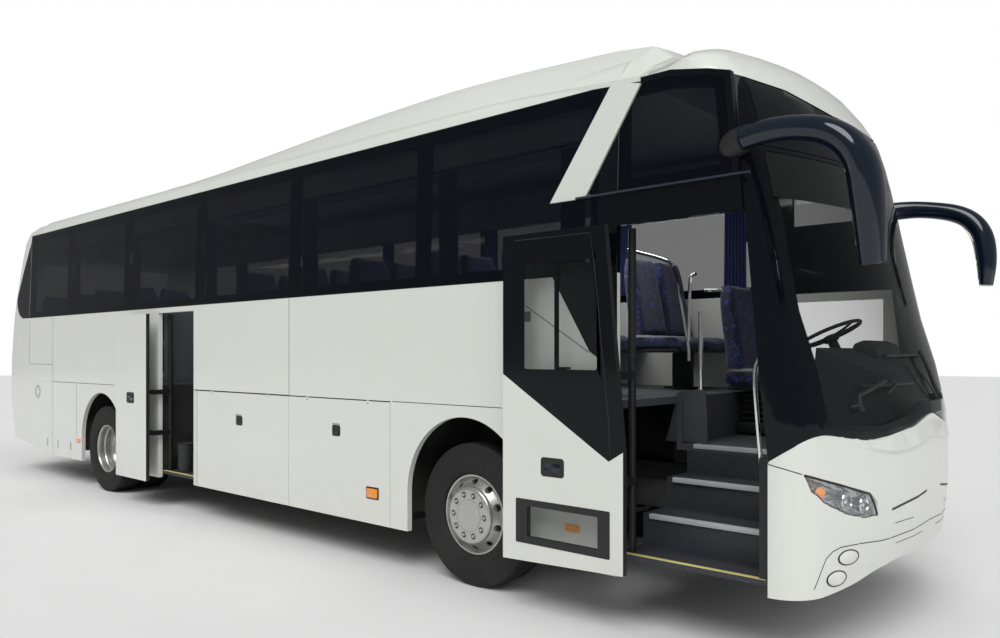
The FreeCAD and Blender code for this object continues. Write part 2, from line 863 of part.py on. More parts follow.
RIGHT_WALL_Y = (-SIDE - 10, -INSIDE + 10)
LEFT_WALL_Y = (INSIDE - 10, SIDE + 10)
FLAP_TOP = s.flap_top
DRIVERS_WINDOW_X = (NOSE_JOINT - 870, NOSE_JOINT - 180)
DRIVERS_WINDOW_Z = (1560, 2070)
flap_hole_right = box(
    "flap_hole_right", (FRONT - s.flap_back - s.seam, FRONT - s.flap_front), RIGHT_WALL_Y, (200, FLAP_TOP)
)
middle_doorway = box(
    "middle_doorway", (MIDDLE_DOOR_BACK, MIDDLE_DOOR_FRONT), RIGHT_WALL_Y, (200, s.middle_door_top)
)
flap_hole_left = box(
    "flap_hole_left", (FRONT - s.left_flap_back - s.seam, FRONT - s.flap_front), LEFT_WALL_Y, (200, FLAP_TOP)
)
drivers_window = box("drivers_window", DRIVERS_WINDOW_X, LEFT_WALL_Y, DRIVERS_WINDOW_Z)
drivers_seat_cut = box(
    "drivers_window_seat", (DRIVERS_WINDOW_X[0] - 40, DRIVERS_WINDOW_X[1] + 40), (SIDE - s.glass - s.seat_gap, SIDE + 10),
    (DRIVERS_WINDOW_Z[0] - 40, DRIVERS_WINDOW_Z[1] + 40),
)
nose_side = feature("nose_side", ahead_of(DOOR_LINE, -float(s.panel_joint) / 2))
lower_wall(-1, TAIL_JOINT + s.panel_joint / 2, FRONT_DOOR_BACK, [flap_hole_right, middle_doorway],
           [BACK + s.corner_seam, MIDDLE_DOOR_BACK, MIDDLE_DOOR_FRONT, FRONT - s.flap_front])
lower_wall(1, TAIL_JOINT + s.panel_joint / 2, NOSE_JOINT + 10, [flap_hole_left, drivers_window, drivers_seat_cut, nose_side],
           [BACK + s.corner_seam, FRONT - s.left_flap_back - s.seam - 20, FRONT - s.flap_front, FRONT_DOOR_BACK])

# Window walls above the belt: flat frames that lean in by the gutter's inset, with the panes seated in them.

WINDOW_HEIGHT = (float(s.gutter_height - s.belt_height) - float(s.seat_gap)) / math.cos(math.radians(LEAN))
# Pane joints as setbacks from the front, front to back.
PANES_RIGHT = [(700, 1425), (1570, 3145), (3157, 4795), (4807, 6445), (6457, 8095), (8107, 9745), (9757, 11060)]
PANE_BAR = 60
PANE_EDGE = 42
OVER_DOOR_PANE = 480.0


def lean_slab(side, x0, x1, z0, z1, deep, outer):
    """A block between two depths below the leaning window face, with heights counted from the belt."""
    tilt = Placement(Vector(0, side * float(SIDE), float(s.belt_height)), Rotation(Vector(1, 0, 0), side * LEAN))
    low, high = (-deep, -outer) if side > 0 else (outer, deep)
    block = Part.makeBox(x1 - x0, high - low, z1 - z0, Vector(x0, low, z0))
    block.Placement = tilt.multiply(block.Placement)
    return block


def window_wall(side):
    """A leaning window frame with its panes, tilted at the belt and cut where the nose begins."""
    name = "right" if side < 0 else "left"
    back = float(TAIL_JOINT) + float(s.panel_joint) / 2
    front = float(NOSE_JOINT) - 80
    wall = float(s.wall)
    glass = float(s.glass)
    gap = float(s.seat_gap)
    top = WINDOW_HEIGHT

    def clear_of_nose(block, edge):
        return block.cut(above_side_line(DOME_LINE, -edge)).cut(ahead_of(DOOR_LINE, -edge))

    frame = lean_slab(side, back, front, 0, top, wall, 0.0)
    panes = []
    for setback_front, setback_back in PANES_RIGHT:
        x0 = float(FRONT) - setback_back
        x1 = float(FRONT) - setback_front
        bottom = OVER_DOOR_PANE if setback_back <= float(s.front_door_back) else 8.0
        pane_top = top - 16
        pane = lean_slab(side, x0, x1, bottom, pane_top, glass, 0.0)
        seat = lean_slab(side, x0 - 2, x1 + 2, bottom - 2, pane_top + 2, glass + gap, -1.0)
        hole = lean_slab(side, x0 + PANE_BAR, x1 - PANE_BAR, bottom + 70, pane_top - 70, wall + 10, -1.0)
        frame = frame.cut(clear_of_nose(seat, PANE_EDGE - 2)).cut(clear_of_nose(hole, PANE_EDGE + PANE_BAR))
        panes.append(clear_of_nose(pane, PANE_EDGE))
    frame = clear_of_nose(frame, float(s.panel_joint) / 2)
    half_joint = float(s.panel_joint) / 2
    door_back = float(FRONT_DOOR_BACK)
    frame = frame.cut(lean_slab(side, door_back - half_joint, door_back + half_joint, -50, top + 50, wall + 10, -1.0))
    if side < 0:
        doorway = Part.makeBox(
            float(NOSE_JOINT) - float(FRONT_DOOR_BACK) + 20, 200,
            float(s.front_door_top) - 2000, Vector(float(FRONT_DOOR_BACK), -float(SIDE) - 50, 2000)
        )
        frame = frame.cut(doorway)
    else:
        low, high = [float(end) for end in DRIVERS_WINDOW_X]
        sill, head = DRIVERS_WINDOW_Z
        panes.append(Part.makeBox(high - low + 76, glass, head - sill + 76,
                                  Vector(low - 38, float(SIDE) - glass, sill - 38)))
    keep(feature("window_frame_" + name + "_shape", frame), "window_frame_" + name)
    keep(feature("side_glass_" + name + "_shape", Part.makeCompound(panes)), "side_glass_" + name)


window_wall(-1)
window_wall(1)


# White blades that cross the window band, standing just proud of the glass.


def make_blades():
    """Two slanted blades from the belt band up to the fairing."""
    points = [(1932, 2611), (1662, 2610), (1272, 3240), (1472, 3285)]
    blades = []
    for side in (-1, 1):
        corners = [Vector(float(FRONT) - setback, 0, z - float(s.belt_height)) for setback, z in points]
        blade = Part.Face(Part.makePolygon(corners + corners[:1])).extrude(Vector(0, side * 14, 0))
        blade.translate(Vector(0, side * float(s.seat_gap), 0))
        blade.Placement = Placement(
            Vector(0, side * float(SIDE), float(s.belt_height)), Rotation(Vector(1, 0, 0), side * LEAN)
        ).multiply(blade.Placement)
        blades.append(blade)
    keep(feature("blades_shape", Part.makeCompound(blades)), "diagonal_blades")


make_blades()


# Luggage flaps, each hung on its top edge.


def flap(node, side, front_setback, back_setback):
    """One luggage flap in the opening of a lower wall, with notches for its hinges and a latch recess."""
    inner, outer = (INSIDE, SIDE) if side > 0 else (-SIDE, -INSIDE)
    x = (FRONT - back_setback, FRONT - front_setback - s.seam)
    panel = box(node + "_panel", x, (inner, outer), (s.skirt_height, FLAP_TOP - s.hinge_top_gap))
    middle = (x[0] + x[1]) / 2
    face = outer - 12 if side > 0 else inner
    tools = [box(node + "_latch", (middle - 50, middle + 50), (face, face + 12), (980, 1080))]
    for number, place_x in enumerate(flap_hinges(front_setback, back_setback)):
        lug, notch = hinge_shapes("X", float(place_x), side * float(FLAP_HINGE_Y), float(FLAP_HINGE_Z))
        tools.append(feature("%s_notch_%d" % (node, number), notch))
    return keep(cut(node + "_shape", panel, tools), node)


for node, (side, front_setback, back_setback) in FLAPS.items():
    flap(node, side, front_setback, back_setback)


# Floors.

FLOOR_SIDE = INSIDE - s.seat_gap
FLOOR_BOTTOM = s.floor_top - s.floor_thickness
HALF_GAP = s.seat_gap / 2
STAIRWELL_BACK = MIDDLE_DOOR_BACK - 20
STAIRWELL_FRONT = MIDDLE_DOOR_FRONT + 20
FLOOR_Z = (FLOOR_BOTTOM, s.floor_top)
floor_slabs = [
    box("floor_slab_back", (BACK + 420, STAIRWELL_BACK - HALF_GAP), (-FLOOR_SIDE, FLOOR_SIDE), FLOOR_Z),
    box("floor_slab_middle", (STAIRWELL_BACK + HALF_GAP, STAIRWELL_FRONT - HALF_GAP),
        (-s.stairwell_edge, FLOOR_SIDE), FLOOR_Z),
    box("floor_slab_front", (STAIRWELL_FRONT + HALF_GAP, FRONT_DOOR_BACK - 100), (-FLOOR_SIDE, FLOOR_SIDE), FLOOR_Z),
]
PLATFORM_THICKNESS = 45
platform = box(
    "platform", (FRONT_DOOR_BACK - 60 + s.seat_gap, FRONT - 300), (-s.platform_edge, FLOOR_SIDE),
    (s.platform_top - PLATFORM_THICKNESS, s.platform_top)
)
riser = box("riser", (FRONT_DOOR_BACK - 100 + s.seat_gap, FRONT_DOOR_BACK - 60), (-s.platform_edge, FLOOR_SIDE),
            (s.platform_top - PLATFORM_THICKNESS, s.floor_top))


def outside_nose():
    """What lies outside the hollow of the nose, to trim the pieces that seat against it."""
    block = Part.makeBox(1100, 2 * WIDE, 3300, Vector(float(FRONT) - 700, -WIDE, 200))
    return block.cut(end_shell(NOSE_LEVELS, float(s.wall) + float(s.seat_gap), NOSE_BASE, plain=True))


nose_limit = feature("nose_limit", outside_nose())
platform_cut = cut("platform_cut", platform, [nose_limit])
keep(together("floor_with_platform", floor_slabs + [platform_cut, riser]), "saloon_floor")

# Steps: three treads up to the driver's platform and five at the middle door, each flight one folded sheet.


def stair(name, x, low_y, high_y, first_z, rise, count, top):
    """A flight of steps going up towards the middle of the coach, with a riser up to the floor's underside."""
    thick = s.step_thickness
    tread = (high_y - low_y) / count
    last = first_z + rise * (count - 1)
    upper = [(low_y, first_z)]
    for number in range(1, count):
        edge = low_y + tread * number
        upper.append((edge, first_z + rise * (number - 1)))
        upper.append((edge, first_z + rise * number))
    upper += [(high_y - thick, last), (high_y - thick, top), (high_y, top), (high_y, last - thick)]
    lower = []
    for number in reversed(range(1, count)):
        edge = low_y + tread * number + thick
        lower.append((edge, first_z + rise * number - thick))
        lower.append((edge, first_z + rise * (number - 1) - thick))
    lower.append((low_y, first_z - thick))
    return prism(name, "YZ", upper + lower, x[0], x[1])


front_stair = stair(
    "front_stair", (FRONT_DOOR_BACK - 20, NOSE_JOINT - 5), s.seat_gap - INSIDE, s.step_thickness - s.platform_edge,
    s.entry_sill, (s.platform_top - s.entry_sill) / 3, 3, s.platform_top - PLATFORM_THICKNESS - s.seat_gap
)
middle_stair = stair(
    "middle_stair", (MIDDLE_DOOR_BACK - 10, MIDDLE_DOOR_FRONT + 10), s.seat_gap - INSIDE,
    s.step_thickness - s.stairwell_edge, s.middle_sill, (s.floor_top - s.middle_sill) / 5, 5, FLOOR_BOTTOM - s.seat_gap
)
keep(together("entrance_stairs", [front_stair, middle_stair]), "entrance_steps")

# Luggage bay: floor, bulkheads and wheel housings.

BAY_FRONT = FRONT - s.flap_front + 60
BAY_BACK = MIDDLE_DOOR_FRONT + 20
bay_floor = box("bay_floor", (MIDDLE_DOOR_BACK - 20, BAY_FRONT), (-FLOOR_SIDE + 6, FLOOR_SIDE - 6),
                (s.luggage_floor_top - 60, s.luggage_floor_top))
bay_front_wall = box("bay_front_wall", (BAY_FRONT - 40, BAY_FRONT), (-FLOOR_SIDE, FLOOR_SIDE),
                     (s.luggage_floor_top - 60, FLOOR_BOTTOM - s.seat_gap))
bay_back_wall = box("bay_back_wall", (MIDDLE_DOOR_BACK - 60, MIDDLE_DOOR_BACK - 20), (-FLOOR_SIDE, FLOOR_SIDE),
                    (s.luggage_floor_top - 60, FLOOR_BOTTOM - s.seat_gap))
stair_space = box("stair_space", (MIDDLE_DOOR_BACK - 10.3, MIDDLE_DOOR_FRONT + 10.3),
                  (-SIDE, s.step_thickness - s.stairwell_edge + s.seat_gap), (0, 2000))
bay_side_wall = box("bay_side_wall", (MIDDLE_DOOR_FRONT + 10.3, MIDDLE_DOOR_FRONT + 22.3),
                    (-FLOOR_SIDE, s.step_thickness - s.stairwell_edge), (s.luggage_floor_top - 60, FLOOR_BOTTOM - s.seat_gap))
bay_tub = fuse("bay_tub", [bay_floor, bay_front_wall, bay_back_wall, bay_side_wall])
keep(cut("bay_tub_cut", bay_tub, [stair_space]), "luggage_bay")


def housing(name, axle, reach, deep, top, side):
    """A wheel housing of flat plates, open below and to the outside."""
    skin = 12
    gap = s.seat_gap
    low = FLOOR_SIDE - deep
    outer = FLOOR_SIDE
    if side < 0:
        low, outer = -outer, -low
    wall_y = (low, low + skin) if side > 0 else (outer - skin, outer)
    plates_y = (low + skin + gap, outer) if side > 0 else (low, outer - skin - gap)
    foot = s.skirt_height + 120
    slope = math.tan(math.radians(22.5))

    def ring(half_width):
        return [
            (-half_width, foot), (-half_width, top - reach + half_width * slope),
            (-half_width * slope, top - reach + half_width),
            (half_width * slope, top - reach + half_width), (half_width, top - reach + half_width * slope),
            (half_width, foot),
        ]

    outside = ring(reach)
    inside = ring(reach - skin)
    plates = []
    for number in range(len(outside) - 1):
        corners = [outside[number], outside[number + 1], inside[number + 1], inside[number]]
        middle_x = sum(float(u) for u, v in corners) / 4
        middle_z = sum(float(v) for u, v in corners) / 4
        span = math.hypot(float(outside[number + 1][0] - outside[number][0]),
                          float(outside[number + 1][1] - outside[number][1]))
        keep_share = 1 - 2 * float(gap) / span
        shrunk = [(axle + middle_x + (u - middle_x) * keep_share, middle_z + (v - middle_z) * keep_share)
                  for u, v in corners]
        plates.append(prism("%s_plate_%d" % (name, number), "XZ", shrunk, plates_y[0], plates_y[1]))
    slot_top = s.tyre_radius + 160
    rim = [(axle + u, v) for u, v in outside[1:5]]
    upper = [(axle + outside[0][0], slot_top)] + rim + [(axle + outside[5][0], slot_top)]
    plates.append(prism(name + "_upper_wall", "XZ", upper, wall_y[0], wall_y[1]))
    for number, (u0, u1) in enumerate(((-reach, length(-160)), (length(160), reach))):
        plates.append(box("%s_lower_wall_%d" % (name, number), (axle + u0, axle + u1), wall_y,
                          (foot, slot_top - gap)))
    return plates


housings = []
for side, word in ((-1, "right"), (1, "left")):
    housings += housing("front_housing_" + word, FRONT_AXLE, s.front_arch_radius + 62, 740,
                        FLOOR_BOTTOM - s.seat_gap, side)
    housings += housing("rear_housing_" + word, REAR_AXLE, s.rear_arch_radius + 30, 720,
                        FLOOR_BOTTOM - s.seat_gap, side)
keep(together("wheel_housings_shape", housings), "wheel_housings")


# Chassis.



def rails(name, back, front, low):
    """Two long rails with cross members, joined as one frame."""
    pieces = []
    for side in (-1, 1):
        middle = side * s.rail_spread
        pieces.append(box("%s_rail_%d" % (name, side + 1), (back, front),
                          (middle - s.rail_width / 2, middle + s.rail_width / 2), (low, low + s.rail_height)))
    for number, x in enumerate((back + 60, (back + front) / 2 + 420, front - 60)):
        pieces.append(box("%s_cross_%d" % (name, number), (x - 40, x + 40), (-s.rail_spread, s.rail_spread),
                          (low + 30, low + s.rail_height - 30)))
    return fuse(name, pieces)


REAR_RAIL_BACK = BACK + 400
front_rails = rails("front_rails", BAY_FRONT + s.seat_gap, FRONT - 260, s.front_rail_low)
rear_rails = rails("rear_rails", REAR_RAIL_BACK, MIDDLE_DOOR_BACK - 60 - s.seat_gap, s.rear_rail_low)
keep(together("chassis_shape", [front_rails, rear_rails]), "chassis_frame")

WHEEL_Z = s.tyre_radius
BEAM_END_TOP = WHEEL_Z + 20
axle_beam = box("axle_beam", (FRONT_AXLE - 50, FRONT_AXLE + 50), (-640, 640), (WHEEL_Z - 160, WHEEL_Z - 60))
beam_parts = [axle_beam]
pin_holes = []
for side in (-1, 1):
    low, high = (590, s.kingpin_span / 2 + 36)
    if side < 0:
        low, high = -high, -low
    beam_parts.append(box("beam_end_%d" % (side + 1), (FRONT_AXLE - 45, FRONT_AXLE + 45), (low, high),
                          (WHEEL_Z - 80, BEAM_END_TOP)))
    pin_holes.append(cylinder("pin_hole_%d" % (side + 1), "Z", s.kingpin_radius + s.seat_gap,
                              (FRONT_AXLE, side * s.kingpin_span / 2, WHEEL_Z - 100), 200))
keep(cut("front_axle_shape", fuse("front_axle_mass", beam_parts), pin_holes), "front_axle")

TWIN_OUTER = s.twin_outer_track / 2
TWIN_INNER = TWIN_OUTER - s.twin_pitch
REAR_HUB_FACE = TWIN_OUTER - 217 - s.seat_gap
axle_tube = cylinder("axle_tube", "Y", 75, (REAR_AXLE, -REAR_HUB_FACE, WHEEL_Z), REAR_HUB_FACE * 2)
diff = cylinder("differential", "Y", 205, (REAR_AXLE, -130, WHEEL_Z), 260)
nose_of_diff = cylinder("pinion_nose", "X", 95, (REAR_AXLE - 420, 0, WHEEL_Z), 400)
BELLOWS_Y = s.rail_spread - 40
CARRIER_TOP = WHEEL_Z + 110
carriers = [
    box("bellows_carrier_%d" % (side + 1), (REAR_AXLE - 440, REAR_AXLE + 440), (side * BELLOWS_Y - 50, side * BELLOWS_Y + 50),
        (CARRIER_TOP - 70, CARRIER_TOP))
    for side in (-1, 1)
]
keep(fuse("rear_axle_shape", [axle_tube, diff, nose_of_diff] + carriers), "rear_axle")


def bellow(name, x, side, foot, head):
    """One air bellows between the axle and a rail."""
    return cylinder(name, "Z", s.bellows_radius, (x, side * BELLOWS_Y, foot + s.seat_gap), head - foot - s.seat_gap * 2)


bellows = []
for side in (-1, 1):
    bellows.append(bellow("bellows_front_%d" % (side + 1), FRONT_AXLE, side, WHEEL_Z - 60, s.front_rail_low))
    for number, x in enumerate((REAR_AXLE - 330, REAR_AXLE + 330)):
        bellows.append(bellow("bellows_rear_%d_%d" % (side + 1, number), x, side, CARRIER_TOP, s.rear_rail_low))
keep(together("bellows_shape", bellows), "air_bellows")

ENGINE_HALF = s.rail_spread - s.rail_width / 2 - s.seat_gap
engine = box("engine", (BACK + 330, BACK + 1530), (-ENGINE_HALF, ENGINE_HALF), (440, 1150))
cross_gap = box(
    "cross_gap", (REAR_RAIL_BACK - 100, REAR_RAIL_BACK + 100 + s.seat_gap), (-500, 500),
    (s.rear_rail_low + 30 - s.seat_gap, s.rear_rail_low + s.rail_height - 30 + s.seat_gap)
)
keep(cut("engine_shape", engine, [cross_gap]), "engine_block")


# Wheels.


def tyre_profile():
    """Half-section corners of a tyre, as width and radius."""
    half = s.tyre_width / 2
    return [(-half, s.rim_radius), (-half, s.tyre_radius), (half, s.tyre_radius), (half, s.rim_radius)]


for side, word in ((1, "left"), (-1, "right")):
    y = side * s.front_track / 2
    keep(spun("tyre_front_%s_shape" % word, tyre_profile(), (FRONT_AXLE, y, WHEEL_Z)), "tyre_front_" + word)
    rim = spun("rim_front_%s_shape" % word, [
        (side * -130, s.rim_radius - 1), (side * 148, s.rim_radius - 1), (side * 148, s.rim_radius - 22),
        (side * 110, s.rim_radius - 22), (side * 110, 120), (side * 150, 120), (side * 150, 0), (side * 60, 0),
        (side * 60, s.rim_radius - 16), (side * -130, s.rim_radius - 16)], (FRONT_AXLE, y, WHEEL_Z))
    keep(rim, "rim_front_" + word)
    outer_y = side * TWIN_OUTER
    inner_y = side * TWIN_INNER
    keep(together("tyres_rear_%s_shape" % word, [
        spun("tyre_rear_outer_" + word, tyre_profile(), (REAR_AXLE, outer_y, WHEEL_Z)),
        spun("tyre_rear_inner_" + word, tyre_profile(), (REAR_AXLE, inner_y, WHEEL_Z)),
    ]), "tyres_rear_" + word)
    rear_rim = spun("rims_rear_%s_shape" % word, [
        (side * 148, s.rim_radius - 1), (side * 148, s.rim_radius - 22), (side * -80, s.rim_radius - 22),
        (side * -80, 150), (side * 20, 150), (side * 20, 0), (side * -217, 0), (side * -217, s.rim_radius - 22),
        (side * -465, s.rim_radius - 22), (side * -465, s.rim_radius - 1)], (REAR_AXLE, outer_y, WHEEL_Z))
    keep(rear_rim, "rims_rear_" + word)

    # Knuckle: an upright that straddles the beam's end, a brake disc and the stub that carries the hub.
    pin_y = side * s.kingpin_span / 2
    upright_low, upright_high = (pin_y - 45, pin_y + 80) if side > 0 else (pin_y - 80, pin_y + 45)
    knuckle = fuse("knuckle_mass_" + word, [
        box("upright_" + word, (FRONT_AXLE - 48, FRONT_AXLE + 48), (upright_low, upright_high),
            (WHEEL_Z - 170, WHEEL_Z + 110)),
        cylinder("disc_" + word, "Y", 205, (FRONT_AXLE, pin_y + 75 if side > 0 else pin_y - 105, WHEEL_Z), 30),
        cylinder("stub_" + word, "Y", 60, (FRONT_AXLE, pin_y + 75 if side > 0 else pin_y - 269.5, WHEEL_Z), 194.5),
        box("steering_arm_" + word, (FRONT_AXLE - 200, FRONT_AXLE), (pin_y - 25, pin_y + 25),
            (WHEEL_Z - 150, WHEEL_Z - 110)),
    ])
    clearance = box("beam_space_" + word, (FRONT_AXLE - 140, FRONT_AXLE + 140),
                    (pin_y - 130, pin_y + 66) if side > 0 else (pin_y - 66, pin_y + 130),
                    (WHEEL_Z - 86, WHEEL_Z + 26))
    fork = cut("fork_" + word, knuckle, [clearance])
    kingpin = cylinder("kingpin_" + word, "Z", s.kingpin_radius, (FRONT_AXLE, pin_y, WHEEL_Z - 120), 200)
    keep(fuse("knuckle_shape_" + word, [fork, kingpin]), "knuckle_" + word)


# Doors: a leaf that swings out on an arm, parallel to the side. Both are modelled open.


def door_geometry(back_shift, closed_attach):
    """Column place, arm length and swing of a door, from where the leaf's pivot goes."""
    out_shift = float(s.leaf_out_shift)
    shift = math.hypot(back_shift, out_shift)
    inset = float(s.column_inset)
    normal = (-out_shift / shift, back_shift / shift)
    middle = (closed_attach[0] - back_shift / 2, closed_attach[1] - out_shift / 2)
    column = (middle[0] + inset * normal[0], middle[1] + inset * normal[1])
    open_attach = (closed_attach[0] - back_shift, closed_attach[1] - out_shift)
    swing = 2 * math.degrees(math.atan2(shift / 2, inset))
    return column, open_attach, swing


def door_arm(node, column, attach, bottom, top, levels):
    """A turning column with arms that reach round the door post to the leaf."""
    radius = float(s.column_radius)
    width = float(s.arm_width)
    tall = float(s.arm_height)
    pieces = [Part.makeCylinder(radius, top - bottom, Vector(column[0], column[1], bottom))]
    out = attach[1] - column[1]
    for level in levels:
        outline = [
            Vector(column[0] - width / 2, column[1], level),
            Vector(column[0] + width / 2, column[1], level),
            Vector(column[0] + width / 2, column[1] + out - width / 2, level),
            Vector(attach[0], column[1] + out - width / 2, level),
            Vector(attach[0], column[1] + out + width / 2, level),
            Vector(column[0] - width / 2, column[1] + out + width / 2, level),
        ]
        bar = Part.Face(Part.makePolygon(outline + outline[:1])).extrude(Vector(0, 0, tall))
        eye = Part.makeCylinder(width * 0.6, tall, Vector(attach[0], attach[1], level))
        hole = Part.makeCylinder(12.3, tall, Vector(attach[0], attach[1], level))
        pieces.append(bar.fuse(eye).cut(hole))
    whole = pieces[0]
    for piece in pieces[1:]:
        whole = whole.fuse(piece)
    return keep(feature(node + "_shape", whole.removeSplitter()), node)


def door_leaf(node, outline, face_y, windows, attach, levels):
    """An open leaf: a flat panel with its windows cut and the brackets that its arms turn on."""
    thick = float(s.leaf_thickness)
    tall = float(s.arm_height)
    corners = [Vector(x, face_y, z) for x, z in outline]
    panel = Part.Face(Part.makePolygon(corners + corners[:1])).extrude(Vector(0, thick, 0))
    for window in windows:
        points = [Vector(x, face_y - 5, z) for x, z in window]
        panel = panel.cut(Part.Face(Part.makePolygon(points + points[:1])).extrude(Vector(0, thick + 10, 0)))
    inner = face_y + thick
    for level in levels:
        pin = Part.makeCylinder(12, tall + 16, Vector(attach[0], attach[1], level - 8))
        for low in (level - 20, level + tall + 5):
            ear = Part.makeBox(50, attach[1] - inner + 25, 15, Vector(attach[0] - 25, inner, low))
            panel = panel.fuse(ear)
        panel = panel.fuse(pin)
    return keep(feature(node + "_shape", panel.removeSplitter()), node)


def shifted(points, dx):
    """Side-view points moved along the coach."""
    return [(x + dx, z) for x, z in points]


doors = {}


def make_front_door():
    """The front passenger door, open, with its glass."""
    gap = float(s.leaf_gap)
    back = float(FRONT_DOOR_BACK) + gap
    front = float(NOSE_JOINT) - gap
    top = float(s.front_door_top) - gap
    bottom = float(s.front_door_bottom)
    back_shift = float(s.front_leaf_back_shift)
    thick = float(s.leaf_thickness)
    closed_attach = ((back + front) / 2 - 20, -float(SIDE) + thick + 45)
    column, attach, swing = door_geometry(back_shift, closed_attach)
    lean = float(NOSE_JOINT) - 140
    outline = shifted([(back, bottom), (front, bottom + 39), (front, 1092), (lean, top), (back, top)], -back_shift)
    face_y = -float(SIDE) - float(s.leaf_out_shift)
    upper = shifted([(back + 95, 1090), (front - 130, 1090), (lean - 95, top - 120), (back + 95, top - 120)], -back_shift)
    lower = shifted([(back + 200, 500), (front - 175, 500), (front - 175, 700), (back + 200, 700)], -back_shift)
    levels = (860, 1500)
    door_leaf("door_front_leaf", outline, face_y, [upper, lower], attach, levels)
    door_arm("door_front_arm", column, attach, float(s.entry_sill + s.seat_gap), top, levels)
    doors["front"] = (column, attach, swing)
    panes = []
    for window in (upper, lower):
        points = [Vector(x, face_y + 6, z) for x, z in window]
        panes.append(Part.Face(Part.makePolygon(points + points[:1])).extrude(Vector(0, 6, 0)))
    keep(feature("door_front_glass_shape", Part.makeCompound(panes)), "door_front_glass")


def make_middle_door():
    """The middle passenger door, open."""
    gap = float(s.leaf_gap)
    back = float(MIDDLE_DOOR_BACK) + gap
    front = float(MIDDLE_DOOR_FRONT) - gap
    top = float(s.middle_door_top) - gap
    bottom = float(s.middle_door_bottom)
    back_shift = float(s.middle_leaf_back_shift)
    thick = float(s.leaf_thickness)
    closed_attach = ((back + front) / 2 + 36, -float(SIDE) + thick + 45)
    column, attach, swing = door_geometry(back_shift, closed_attach)
    outline = shifted([(back, bottom), (front, bottom), (front, top), (back, top)], -back_shift)
    face_y = -float(SIDE) - float(s.leaf_out_shift)
    levels = (780, 1215)
    door_leaf("door_middle_leaf", outline, face_y, [], attach, levels)
    door_arm("door_middle_arm", column, attach, float(s.middle_sill + s.seat_gap), top, levels)
    doors["middle"] = (column, attach, swing)


make_front_door()
make_middle_door()
for word, (column, attach, swing) in doors.items():
    print("door", word, "column", [round(v, 1) for v in column], "attach", [round(v, 1) for v in attach],
          "swing", round(swing, 2))


# Inside.

DRIVER_Y = 600
WHEEL_TILT = 25
STEERING_X = FRONT - 850
STEERING_Z = 1790
dash = prism("dash_block", "XZ", [(FRONT - 620, 1690), (FRONT - 180, 1500), (FRONT - 180, s.platform_top + s.seat_gap),
                                  (FRONT - 520, s.platform_top + s.seat_gap), (FRONT - 640, 1500)], -260, 1200)
dash_cut = cut("dash_cut", dash, [nose_limit])
column_post = box("column_post", (FRONT - 780, FRONT - 600), (DRIVER_Y - 60, DRIVER_Y + 60), (1430, 1560))
# The steering column ends just below the hub of the wheel.
COLUMN_LONG = 200
column_drop = 60 + float(s.seat_gap) + COLUMN_LONG
column_shaft = doc.addObject("Part::Cylinder", "column_shaft")
column_shaft.Radius = 34
column_shaft.Height = COLUMN_LONG
column_shaft.Placement = Placement(Vector(), Rotation(Vector(0, 1, 0), -WHEEL_TILT))
place(column_shaft, STEERING_X + column_drop * math.sin(math.radians(WHEEL_TILT)), DRIVER_Y,
      STEERING_Z - column_drop * math.cos(math.radians(WHEEL_TILT)))
keep(fuse("dash_shape", [dash_cut, column_post, column_shaft]), "dashboard")


def steering_ring():
    """The steering wheel's ring as a many-sided band."""
    sides = 28

    def outline(radius):
        corners = [Vector(radius, 0, -14)]
        for number in range(1, sides):
            corner = Vector(radius, 0, -14)
            corners.append(Rotation(Vector(0, 0, 1), 360 * number / sides).multVec(corner))
        return Part.makePolygon(corners + corners[:1])

    whole = Part.Face(outline(240)).extrude(Vector(0, 0, 28))
    return whole.cut(Part.Face(outline(212)).extrude(Vector(0, 0, 28)))


wheel_rim = feature("steering_rim", steering_ring())
wheel_hub = cylinder("steering_hub", "Z", 60, (0, 0, -60), 50)
spoke = box("steering_spoke", (-218, 218), (-18, 18), (-22, -6))
steering = fuse("steering_wheel_flat", [wheel_rim, wheel_hub, spoke])
wheel_shape = doc.addObject("Part::Compound", "steering_wheel_shape")
wheel_shape.Links = [steering]
wheel_shape.Placement = Placement(Vector(0, 0, 0), Rotation(Vector(0, 1, 0), -WHEEL_TILT))
place(wheel_shape, STEERING_X, DRIVER_Y, STEERING_Z)
keep(wheel_shape, "steering_wheel")


def seat_solids(name, x, z, low, high):
    """A seat that faces forward: a cushion and a back with its head rest, a seat's gap apart."""
    top = z + 90
    cushion = prism(name + "_cushion", "XZ", [(x - 70, z), (x + 430, z), (x + 450, top), (x - 70, top)], low, high)
    foot = top + s.seat_gap
    back = prism(name + "_back", "XZ", [(x + 100, foot), (x - 20, z + 640), (x - 60, z + 790), (x - 150, z + 780),
                                        (x - 140, z + 600), (x - 70, foot)], low, high)
    return [cushion, back]


SEAT_PITCH = 850
SEAT_Z = s.floor_top + 330
seats = []


def seat_pair(name, x, side):
    """One double seat on its pedestal."""
    low, high = (330, 1200) if side > 0 else (-1200, -330)
    leg = box(name + "_leg", (x + 100, x + 350), ((low + high) / 2 - 60, (low + high) / 2 + 60),
              (s.floor_top + s.seat_gap, SEAT_Z - s.seat_gap))
    return seat_solids(name, x, SEAT_Z, low, high) + [leg]


FIRST_SEAT = FRONT_DOOR_BACK - 900
for number in range(11):
    x = FIRST_SEAT - SEAT_PITCH * number
    seats += seat_pair("left_%d" % number, x, 1)
    blocked = float(x) - 160 < float(MIDDLE_DOOR_FRONT) + 60 and float(x) + 460 > float(MIDDLE_DOOR_BACK) - 60
    if not blocked:
        seats += seat_pair("right_%d" % number, x, -1)
keep(together("passenger_seats_shape", seats), "passenger_seats")

